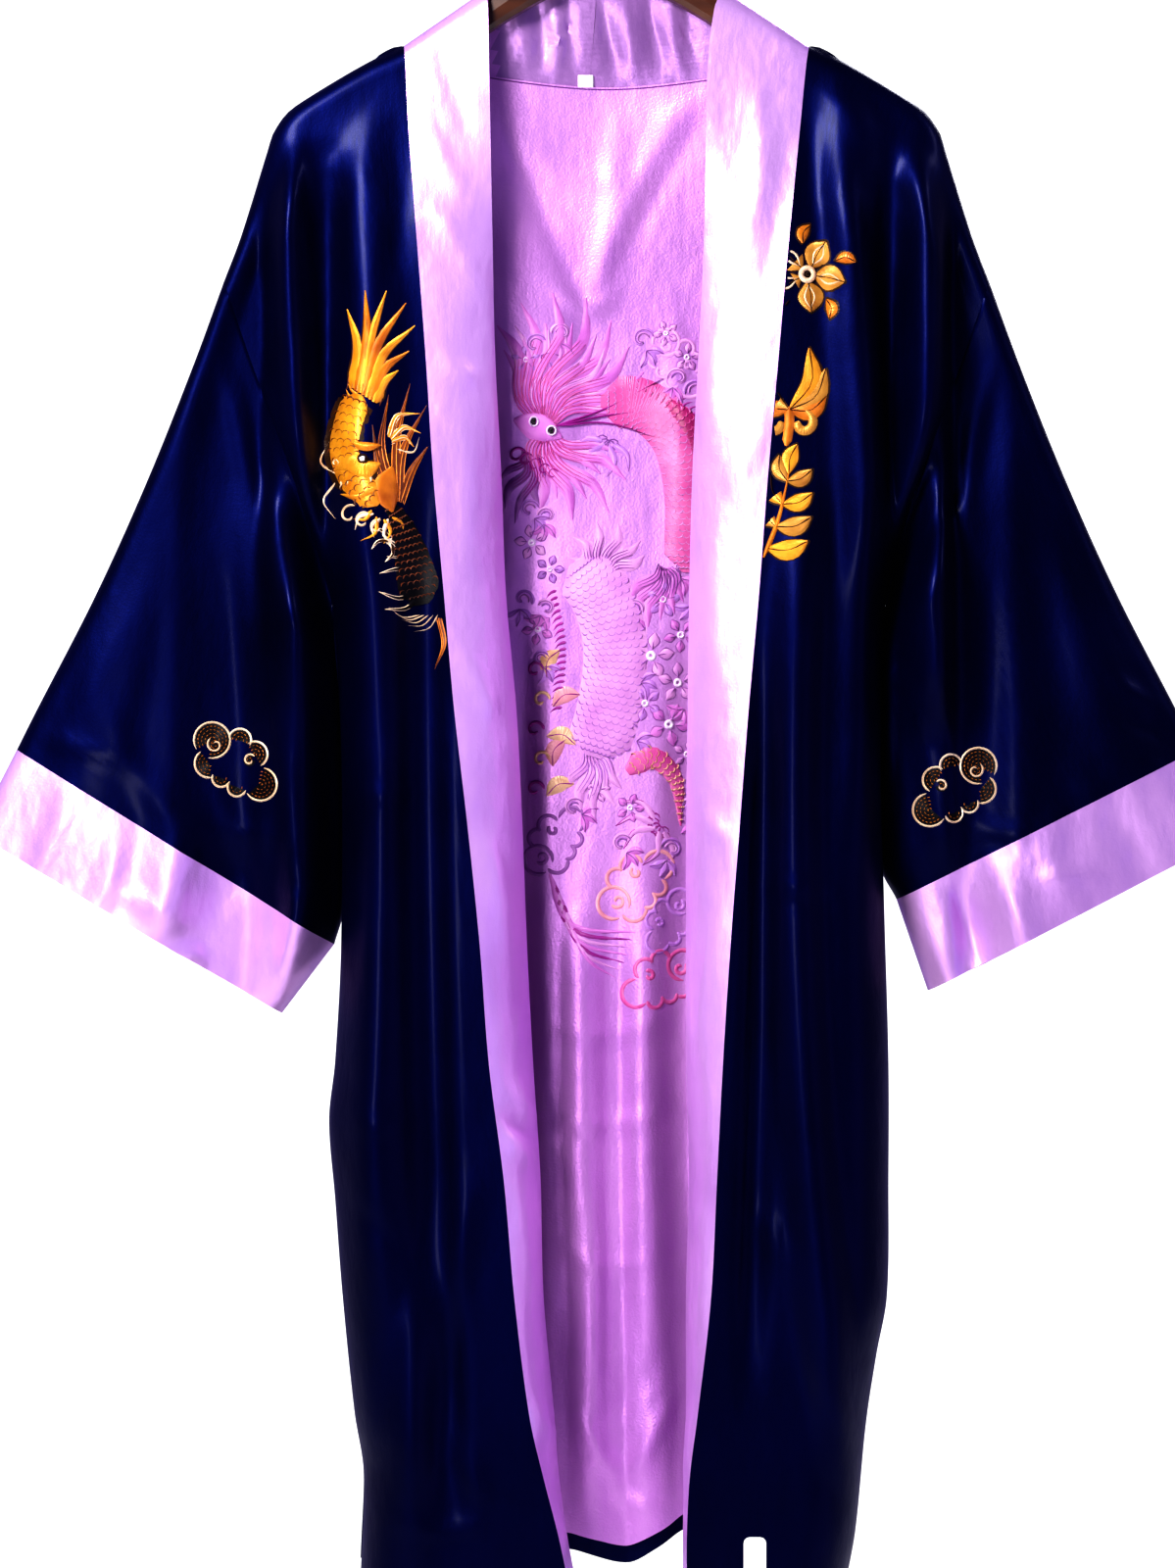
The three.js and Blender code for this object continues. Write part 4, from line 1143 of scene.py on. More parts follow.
TAPERS = {
    "leaf": lambda u: np.sin(np.pi * np.clip(u, 0.02, 0.98)) ** 0.8,
    "plume": lambda u: np.minimum(1, 0.35 + 5 * u) * (1 - 0.93 * u**1.6),
    "even": lambda u: np.minimum(1, 0.3 + 9 * np.minimum(u, 1 - u)),
    "full": np.ones_like,
}


STITCH_SINK = 0.12
STITCH_DEPTH = 0.3
STITCH_UV_WIDTH = 0.004


def stitch(points, width, thread, taper="even", height=0.7, over=0.0, count=9):
    """One ribbon of stitches along a smooth line; over is how far it lies on what is stitched under it."""
    u = np.linspace(0, 1, count)
    return {
        "line": path(points)(u),
        "half": TAPERS[taper](u) * width / 2,
        "height": height,
        "over": over,
        "thread": thread,
    }


def turned(point, angle, length):
    return np.asarray(point, float) + length * np.array([math.cos(angle), math.sin(angle)])


def bowed(start, end, bow):
    """Three points from start to end, the middle one moved sideways by a share of the length."""
    start, end = np.asarray(start, float), np.asarray(end, float)
    along = end - start
    return [start, (start + end) / 2 + bow * np.array([-along[1], along[0]]), end]


def arc(centre, radius, start, end, count=9, inner=None):
    """Points on an arc between two angles in degrees, or on a spiral where inner is its last radius."""
    u = np.linspace(0, 1, count)
    angle = np.radians(start + (end - start) * u)
    reach = radius + ((radius if inner is None else inner) - radius) * u
    return np.asarray(centre, float) + reach[:, None] * np.stack([np.cos(angle), np.sin(angle)], -1)


def plume(base, tip, bow, width, fill, edge, height=1.1, ground=None):
    """A long tapered lock with a fine line down each side and one along its middle."""
    points = bowed(base, tip, bow)
    made = [stitch(points, width, fill, "plume", height, 0.3 if ground else 0, 12)]
    if ground:
        made.append(stitch(points, width + 4, ground, "plume", 0.5, count=12))
    across = np.array(points[2]) - np.array(points[0])
    across = np.array([-across[1], across[0]]) / np.linalg.norm(across)
    for side in (-1, 0, 1):
        offset = across * side * width * 0.42
        line = [points[0] + offset, points[1] + offset * 0.8, mix(points[1], points[2], 0.85)]
        made.append(stitch(line, 0.8, edge, "plume", 0.3, height * (0.3 if side else 0.9), 12))
    return made


def locks(base, angles, lengths, width, bow, fill, edge, wave=0.0):
    """Locks of a mane that fan out from one place, each bent to one side and then back by its wave."""
    made = []
    for i, (angle, length) in enumerate(zip(angles, lengths)):
        angle = math.radians(angle)
        start = turned(base, angle, 5)
        if not wave:
            tip = turned(base, angle, length)
            made += plume(start, tip, bow * (1 if i % 2 else 0.6), width, fill, edge, 0.8)
            continue
        side = angle + math.pi / 2
        points = [
            start,
            turned(turned(base, angle, length * 0.35), side, length * bow * 0.7),
            turned(turned(base, angle, length * 0.7), side, length * (bow - wave) * 0.7),
            turned(turned(base, angle, length), side, length * wave * (1 if i % 2 else 0.4)),
        ]
        made.append(stitch(points, width * (1 if i % 2 else 0.8), fill, "leaf", 0.9, 0.2 * (i % 3), 16))
        for offset in (-0.26, 0.0, 0.26):
            vein = [p + offset * width * np.array([-math.sin(angle), math.cos(angle)]) for p in points[:3]]
            made.append(stitch(vein, 0.7, edge, "leaf", 0.3, 0.9 + 0.2 * (i % 3), 12))
    return made


def scaled(spine, width, fill, edge, across=5, spacing=5.0, taper="even", height=1.4):
    """A scaled body: a domed ground with rows of small curved scales on it."""
    curve = path(spine)
    count = max(12, int(steps(curve(np.linspace(0, 1, 40))).sum() / 4))
    made = [stitch(spine, width, fill, taper, height, count=count)]
    far = steps(curve(np.linspace(0, 1, 60))).sum()
    rows = int(far / spacing)
    for i in range(1, rows):
        u = i / rows
        here, ahead = curve(u - 0.01), curve(u + 0.01)
        heading = math.atan2(*(ahead - here)[::-1])
        half = TAPERS[taper](np.array(u)) * width / 2
        for j in range(across):
            s = (2 * (j + 0.5 * (i % 2 == 0) + 0.25) / across - 1) * 0.9
            centre = curve(u) + s * half * np.array([-math.sin(heading), math.cos(heading)])
            radius = 0.95 * half / across
            turn = math.degrees(heading)
            points = arc(centre, radius, turn - 90, turn + 90, 5)
            dome = height * math.sqrt(max(0.0, 1 - s * s))
            made.append(stitch(points, 0.8, edge, "even", 0.35, dome - 0.15, 5))
    return made


def spikes(spine, side, length, spacing, fill):
    """Short pointed tufts along one side of a body."""
    curve = path(spine)
    far = steps(curve(np.linspace(0, 1, 60))).sum()
    made = []
    for u in np.arange(spacing / 2, far, spacing) / far:
        here, ahead = curve(max(0.0, u - 0.01)), curve(min(1.0, u + 0.01))
        heading = math.atan2(*(ahead - here)[::-1]) + side * math.radians(62)
        tip = turned(curve(u), heading, length)
        made.append(stitch(bowed(curve(u), tip, 0.12 * side), 2.6, fill, "plume"))
    return made


def blossom(centre, radius, petals, fill, edge, heart, turn=90.0):
    """A round flower: a ring of broad petals about a small knotted heart."""
    made = []
    for k in range(petals):
        angle = math.radians(turn + 360 * k / petals)
        base, tip = turned(centre, angle, radius * 0.28), turned(centre, angle, radius)
        broad = radius * 1.75 / petals * 1.5
        made.append(stitch([base, (base + tip) / 2, tip], broad, fill, "leaf", 1.2, count=9))
        for side in (-1, 1):
            made.append(stitch(bowed(base, tip, side * 0.34), 0.9, edge, "even", 0.35, 0.3, 9))
        made.append(stitch([base, (base + tip) / 2], 0.8, edge, "even", 0.3, 1.1, 5))
    made.append(stitch(arc(centre, radius * 0.14, 0, 366, 12), radius * 0.16, heart, "full", 1.0, 0.2, 14))
    return made


def leaf(base, tip, width, fill, edge, bow=0.12, ground=None):
    """A leaf or petal with its vein, on a wider dark ground where one is given."""
    points = bowed(base, tip, bow)
    made = [
        stitch(points, width, fill, "leaf", 1.1, 0.3 if ground else 0, 10),
        stitch(points, 0.8, edge, "even", 0.35, 1.25 if ground else 0.95, 8),
    ]
    if ground:
        start, end = np.array(points[0]), np.array(points[2])
        beyond = (end - start) / np.linalg.norm(end - start) * 1.6
        longer = [start - beyond, points[1], end + beyond]
        made.append(stitch(longer, width + 3.4, ground, "leaf", 0.5, count=10))
    return made


def claw(palm, heading, reach, talons, spread, fill, edge, width=3.4):
    """A foot: a knot of pads, with curved talons that fan out of it."""
    made = []
    for k in range(talons):
        angle = math.radians(heading + spread * (k / (talons - 1) - 0.5))
        base, tip = turned(palm, angle, reach * 0.2), turned(palm, angle, reach)
        bow = 0.22 * (1 if k >= talons / 2 else -1)
        made.append(stitch(bowed(base, tip, bow), width, fill, "plume", 0.9, count=10))
        for side in (-1, 1):
            offset = side * width * 0.42 * np.array([-math.sin(angle), math.cos(angle)])
            line = bowed(base + offset, tip, bow)
            made.append(stitch(line, 0.9, edge, "even", 0.35, 0.2, 10))
        pad = turned(palm, angle, reach * 0.2)
        made.append(stitch(arc(pad, width * 0.62, 0, 350, 10), 1.0, edge, "even", 0.4, 0.1, 10))
    return made


CLOUD = table(
    "x z radius start end inner",
    (-18, 9, 12, -80, 232, 12),
    (-15, 7, 5.5, 150, 510, 1.5),
    (-1, 16, 7.5, -5, 190, 7.5),
    (12, 11, 8.5, -40, 145, 8.5),
    (10, 6, 4.2, 60, 380, 1.5),
    (23, -6, 11, 100, -125, 11),
    (9, -14, 6, 5, -185, 6),
    (-3, -12, 6, 0, -180, 6),
    (-14, -6, 9.5, 148, 300, 9.5),
)


def cloud(centre, size, mirror, line, dash, width=1.5, tilt=-18.0, ground=None):
    """A scalloped cloud in outline, with rows of short stitches in it, on a dark ground if one is given."""
    made = []
    turn = math.radians(tilt)
    rotate = np.array([[math.cos(turn), -math.sin(turn)], [math.sin(turn), math.cos(turn)]])

    def place(points):
        return np.asarray(centre, float) + (points * [mirror, 1]) @ rotate.T * size

    for c in rows_of(CLOUD):
        points = arc((c["x"], c["z"]), c["radius"], c["start"], c["end"], 16, c["inner"])
        made.append(stitch(place(points), width, line, "even", 0.7, 0.15 if ground else 0, count=22))
        if ground:
            middle = arc((c["x"], c["z"]), c["radius"] * 0.5, c["start"], c["end"], 12)
            made.append(stitch(place(middle), c["radius"] * 1.15, ground, "full", 0.3, count=16))
        for radius in np.arange(c["radius"] - 2.6, 1.0, -2.4):
            for angle in np.arange(c["start"], c["end"], math.copysign(150 / radius, c["end"] - c["start"])):
                end = angle + (100 if ground else 60) / radius
                points = arc((c["x"], c["z"]), radius, angle, end, 3)
                made.append(stitch(place(points), 0.7, dash, "even", 0.3, 0.2 if ground else 0, count=3))
    return made


def ribbon(stroke, ground):
    """A ribbon's rings of points on the cloth, in metres, or None where the cloth ends before it."""
    line, half = stroke["line"], stroke["half"]
    along = np.gradient(line, axis=0)
    along /= np.linalg.norm(along, axis=1, keepdims=True) + 1e-9
    widest = half.max() * 2
    count = 3 if widest < 2.2 else 5 if widest < 9 else 9
    across = np.linspace(-1, 1, count)
    flat = line[:, None] + across[:, None] * (half[:, None] * along[:, ::-1] * [-1, 1])[:, None]
    found = np.full((*flat.shape[:2], 6), np.nan)
    for index in np.ndindex(flat.shape[:2]):
        x, z = flat[index] * MM
        place, normal, _, _ = ground.ray_cast(Vector((x, -0.4, z)), Vector((0, 1, 0)))
        if place is not None and normal.y < -0.2:
            found[index] = (*place, *normal)
    whole = ~np.isnan(found).any(axis=(1, 2))
    edges = np.flatnonzero(np.diff(np.concatenate([[0], whole.astype(int), [0]])))
    if not len(edges):
        return None
    start, end = max(zip(edges[::2], edges[1::2]), key=lambda run: run[1] - run[0])
    if end - start < 3:
        return None
    found, half = found[start:end], half[start:end]
    full = np.minimum(1, (half / half.max()) ** 0.5)[:, None]
    dome = stroke["height"] * full * np.sqrt(np.clip(1 - across**2, 0, 1))
    place, normal = found[..., :3], found[..., 3:]
    top = place + normal * ((dome + stroke["over"] - STITCH_SINK) * MM)[..., None]
    under = place - normal * STITCH_DEPTH * MM
    return np.concatenate([top, under[:, 1:-1][:, ::-1]], axis=1)


def embroider(name, panel, strokes, threads, slot):
    """All the ribbons of one design as one mesh on a panel, each with its thread's material."""
    points = [panel.matrix_world @ v.co for v in panel.data.vertices]
    ground = BVHTree.FromPolygons(points, [tuple(p.vertices) for p in panel.data.polygons])
    vertices, faces, materials, uvs = [], [], [], []
    for stroke in strokes:
        rings = ribbon(stroke, ground)
        if rings is None:
            continue
        rows, columns = rings.shape[:2]
        base = len(vertices)
        vertices += rings.reshape(-1, 3).tolist()
        far = travelled(rings[:, 0])
        round_it = np.linspace(0, STITCH_UV_WIDTH, columns + 1)
        for r in range(rows - 1):
            for c in range(columns):
                d = (c + 1) % columns
                a, b = base + r * columns, base + (r + 1) * columns
                faces.append((a + c, b + c, b + d, a + d))
                uvs += [(far[r], round_it[c]), (far[r + 1], round_it[c])]
                uvs += [(far[r + 1], round_it[c + 1]), (far[r], round_it[c + 1])]
        for r in (0, rows - 1):
            ring = [base + r * columns + c for c in range(columns)]
            faces.append(ring if r else ring[::-1])
            uvs += [(far[r], 0.0)] * columns
        materials += [stroke["thread"]] * ((rows - 1) * columns + 2)
    mesh = bpy.data.meshes.new(name)
    mesh.from_pydata(vertices, [], faces)
    for thread in threads.values():
        mesh.materials.append(thread)
    order = list(threads)
    mesh.polygons.foreach_set("material_index", [order.index(thread) for thread in materials])
    layer = mesh.uv_layers.new(name="thread")
    layer.data.foreach_set("uv", np.array(uvs).ravel())
    work = bmesh.new()
    work.from_mesh(mesh)
    bmesh.ops.recalc_face_normals(work, faces=work.faces)
    work.to_mesh(mesh)
    work.free()
    piece = bpy.data.objects.new(name, mesh)
    bpy.context.collection.objects.link(piece)
    piece.select_set(True)
    bpy.context.view_layer.objects.active = piece
    bpy.ops.object.shade_smooth_by_angle(angle=math.radians(50))
    piece.select_set(False)
    return put_on(piece, slot)


def thread(name, dark, light, metallic=0.0, roughness=0.38, shine=0.5):
    """Silky thread: fine stitches across the ribbon, and a colour that changes along it."""
    material, nodes, links, shader = new_material(
        name, light, roughness, Metallic=metallic, Specular_IOR_Level=shine
    )
    where = nodes.new("ShaderNodeTexCoord")
    drift = noise(nodes, links, where.outputs["Object"], 55, 3)
    links.new(ramp(nodes, links, drift, dark, light), shader.inputs["Base Color"])
    rows = nodes.new("ShaderNodeTexWave")
    rows.inputs["Scale"].default_value = 520
    rows.inputs["Distortion"].default_value = 1.2
    rows.inputs["Detail"].default_value = 1.0
    links.new(where.outputs["UV"], rows.inputs["Vector"])
    bumps(nodes, links, shader, (rows.outputs["Fac"], 0.35, 0.0004))
    return material


# The designs. The dragons, the clouds and the flowers are plain traditional ones in their own layout.

GOLD_THREADS = {
    "gold": thread("gold_thread", (0.62, 0.2, 0.008), (0.95, 0.44, 0.03), 0.35, 0.34),
    "amber": thread("amber_thread", (0.42, 0.1, 0.004), (0.8, 0.27, 0.012), 0.3, 0.36),
    "ochre": thread("ochre_thread", (0.4, 0.16, 0.02), (0.72, 0.36, 0.06), 0.35, 0.34),
    "rust": thread("rust_thread", (0.06, 0.012, 0.003), (0.26, 0.06, 0.008), 0.2, 0.4),
    "cream": thread("cream_thread", (0.75, 0.5, 0.28), (0.95, 0.78, 0.55), 0.2, 0.36),
    "brown": thread("brown_thread", (0.01, 0.004, 0.002), (0.05, 0.018, 0.006), 0.0, 0.42, 0.15),
    "black": thread("black_thread", (0.001, 0.001, 0.002), (0.006, 0.004, 0.006), 0.0, 0.45, 0.15),
    "white": thread("white_thread", (0.8, 0.78, 0.75), (0.95, 0.93, 0.9)),
}
PINK_THREADS = {
    "pink": thread("pink_thread", (0.46, 0.12, 0.45), (0.6, 0.2, 0.56)),
    "pale": thread("pale_pink_thread", (0.5, 0.2, 0.5), (0.66, 0.32, 0.62)),
    "lilac": thread("lilac_thread", (0.38, 0.15, 0.5), (0.5, 0.22, 0.6)),
    "rose": thread("rose_thread", (0.5, 0.06, 0.26), (0.62, 0.14, 0.36)),
    "crimson": thread("crimson_thread", (0.22, 0.008, 0.09), (0.5, 0.03, 0.2)),
    "magenta": thread("magenta_thread", (0.2, 0.006, 0.16), (0.38, 0.025, 0.3)),
    "mauve": thread("mauve_thread", (0.2, 0.06, 0.26), (0.34, 0.12, 0.38)),
    "peach": thread("peach_thread", (0.55, 0.2, 0.26), (0.75, 0.34, 0.38)),
    "straw": thread("straw_thread", (0.5, 0.26, 0.14), (0.8, 0.52, 0.32), 0.2),
    "seam": thread("seam_thread", (0.1, 0.02, 0.14), (0.18, 0.05, 0.24)),
    "white": thread("white_silk_thread", (0.72, 0.55, 0.74), (0.88, 0.74, 0.9)),
    "black": thread("eye_thread", (0.002, 0.001, 0.004), (0.01, 0.004, 0.012)),
}


def chest_dragon():
    """A dragon on the right front, which runs on under the band."""
    body = [(-122, -505), (-130, -470), (-138, -448), (-152, -430)]
    made = scaled(body, 30, "black", "rust", 6, 4.6, "plume", 1.2)
    made += locks((-139, -442), (106, 94, 84, 74, 63), (58, 76, 84, 72, 50), 7, 0.1, "rust", "amber")
    neck = [(-150, -438), (-166, -424), (-174, -404), (-171, -384), (-164, -366)]
    made.append(stitch(neck, 28, "brown", "even", 0.5, count=14))
    made.append(stitch([(-140, -404), (-152, -424), (-178, -420)], 40, "brown", "leaf", 0.4, count=12))
    made += spikes(neck, 1, 11, 4.2, "gold")
    made += spikes(neck, 1, 6, 5.6, "cream")
    made += scaled(neck, 21, "gold", "rust", 4, 5.2, "even", 1.8)
    tips = [(-172, -309), (-160, -297), (-146, -297), (-133, -305), (-127, -320), (-131, -337), (-138, -350)]
    for i, tip in enumerate(tips):
        base = (-168 + 2.4 * i, -362 - 1.6 * i)
        bow = (-0.1, -0.06, 0.03, 0.08, 0.12, 0.14, 0.12)[i]
        made += plume(base, tip, bow, 9.5, ("gold", "amber")[i % 2], "rust", 1.2, "brown")
    made += dragon_head()
    made += claw((-117, -492), 178, 34, 4, 62, "black", "cream", 4.6)
    made += claw((-141, -462), 205, 16, 3, 90, "brown", "cream", 3.0)
    for k in range(5):
        hair = bowed((-112 - 3 * k, -512), (-128 - 4 * k, -523 + 4 * k), 0.2)
        made.append(stitch(hair, 1.2, "cream", "plume"))
    made += plume((-111, -514), (-114, -548), 0.14, 4, "rust", "amber")
    return made


def dragon_head():
    made = [
        stitch([(-150, -412), (-160, -416), (-170, -412), (-180, -416)], 15, "gold", "leaf", 2.0, 0.6, 14),
        stitch([(-142, -414), (-146, -428), (-142, -444)], 17, "amber", "leaf", 1.8, 0.4, 12),
        stitch([(-152, -428), (-164, -434), (-176, -432)], 8, "gold", "plume", 1.5, 0.5, 12),
        stitch([(-150, -400), (-160, -401), (-168, -398)], 6, "gold", "leaf", 1.4, 1.8, 10),
        stitch(arc((-161, -409), 2.6, 0, 350, 12), 1.4, "brown", "even", 0.6, 2.4, 12),
        stitch(arc((-161, -409), 0.9, 0, 350, 8), 1.6, "white", "even", 0.6, 2.5, 8),
        stitch(arc((-179, -411), 2.6, -40, 260, 10, 1.0), 1.5, "cream", "even", 0.7, 1.2, 12),
    ]
    for k in range(5):
        root = (-156 - 4.8 * k, -421 - 0.6 * k)
        tooth = bowed(root, (root[0] - 0.8, root[1] - 4.5), 0.1)
        made.append(stitch(tooth, 2.0, "cream", "plume", 0.8, 1.0, 6))
    for k, reach in enumerate((26, 20, 15)):
        start = turned((-146, -398), math.radians(60 - 24 * k), 4)
        tip = turned(start, math.radians(38 - 26 * k), reach)
        made += plume(start, tip, 0.3, 5, "gold", "cream")
    for k in range(7):
        root = turned((-147, -440), math.radians(200 + 17 * k), 9)
        tip = turned(root, math.radians(205 + 16 * k), 13 + 3 * (k % 3))
        tuft = bowed(root, tip, 0.28 * (-1) ** k)
        made.append(stitch(tuft, 3.2, ("gold", "cream")[k % 2], "plume", 1.0, 0.3, 9))
    for k in range(3):
        centre = (-170 + 9 * k, -446 - 4 * k)
        made.append(stitch(arc(centre, 7 - k, 60, 330, 12, 2), 1.6, "cream", "even", 0.8, 0.5, 16))
    for start, middle, end in (
        ((-180, -418), (-190, -410), (-184, -396)),
        ((-180, -424), (-188, -436), (-180, -448)),
        ((-140, -402), (-128, -404), (-124, -394)),
    ):
        made.append(stitch([start, middle, end], 1.8, "cream", "plume", 0.8, 0.2, 12))
    return made


def chest_emblems():
    """Three gold motifs down the left front: a round blossom, a lotus bud and a spray of leaves."""
    heart = np.array((133, -286))
    made = []
    for k in range(5):
        angle = math.radians(60 + 72 * k)
        made += leaf(turned(heart, angle, 5), turned(heart, angle, 25), 17, "ochre", "brown", 0.04, "brown")
        for side in (-1, 1):
            line = bowed(turned(heart, angle, 7), turned(heart, angle, 23), side * 0.2)
            made.append(stitch(line, 1.5, "cream", "leaf", 0.5, 1.2, 9))
    made.append(stitch(arc(heart, 4.2, 0, 368, 14), 3.6, "cream", "full", 1.2, 1.4, 20))
    made.append(stitch(arc(heart, 1.0, 0, 350, 8), 2.2, "brown", "even", 1.2, 1.6, 8))
    for angle in (98, 25, 308, 235):
        start = turned(heart, math.radians(angle), 21)
        made += leaf(start, turned(start, math.radians(angle - 30), 13), 8, "amber", "brown", 0.2, "brown")
    bud = (121, -376)
    for k, angle in enumerate((20, 150, 48, 122, 72, 98)):
        reach = (26, 26, 36, 36, 43, 43)[k]
        tone = ("amber", "amber", "ochre", "ochre", "gold", "ochre")[k]
        tip = turned(bud, math.radians(angle), reach)
        made += leaf(bud, tip, 13, tone, "brown", 0.2 * (1 if angle > 90 else -1), "brown")
    for side in (-1, 1):
        curl = arc((121 + side * 9, -385), 8.5, 90, 90 - side * 300, 14, 2.5)
        made.append(stitch(curl, 6.2, "ochre", "even", 1.4, 0.2, 18))
        made.append(stitch(curl, 8.6, "brown", "even", 0.5, 0, 18))
    made.append(stitch([(121, -374), (121, -386), (119, -400)], 6.5, "amber", "even", 1.4, 0.3, 8))
    spine = [(104, -474), (114, -448), (122, -412)]
    stem = path(spine)
    made.append(stitch(spine, 3.6, "amber", "plume", 1.2, 0.4, 12))
    for k in range(4):
        start = stem(0.1 + 0.24 * k)
        for side in (-1, 1):
            heading = math.radians(66 + side * (56 - 5 * k))
            tip = turned(start, heading, 27 - 3 * k)
            made += leaf(start, tip, 13.5 - k, ("gold", "ochre")[k % 2], "brown", 0.14 * side, "brown")
    made += leaf(stem(0.9), turned(stem(0.9), math.radians(74), 20), 11, "gold", "brown", 0.1, "brown")
    return made


LINING_BLOSSOMS = table(
    "x z radius turn",
    (38, -500, 13, 10),
    (50, -524, 12, 50),
    (30, -538, 16, 80),
    (48, -556, 14, 20),
    (26, -570, 12, 40),
    (42, -584, 15, 66),
    (54, -604, 10, 5),
    (-50, -462, 12, 30),
    (-38, -480, 10, 0),
    (-46, -520, 11, 44),
    (54, -338, 10, 12),
    (40, -322, 9, 40),
    (-54, -340, 10, 20),
    (16, -640, 10, 70),
    (-6, -628, 9, 10),
)
LINING_CURLS = table(
    "x z radius start end",
    (60, -360, 8, 200, -60),
    (48, -352, 7, 180, -120),
    (62, -500, 7, 160, -140),
    (18, -506, 7, -20, 260),
    (16, -552, 8, 40, 330),
    (58, -570, 7, 140, -150),
    (14, -590, 8, 30, 320),
    (58, -640, 8, 200, -90),
    (-52, -440, 7, 10, 300),
    (-40, -444, 6, 180, -110),
    (-56, -500, 7, -30, 250),
    (-40, -506, 6, 160, -130),
    (-44, -540, 6, 0, 290),
    (10, -664, 7, 20, 300),
    (44, -668, 8, 160, -120),
    (-22, -640, 7, 30, 320),
    (-48, -330, 8, 20, 300),
    (-30, -322, 7, 180, -100),
    (24, -326, 8, 10, 290),
    (50, -480, 6, 0, 270),
)


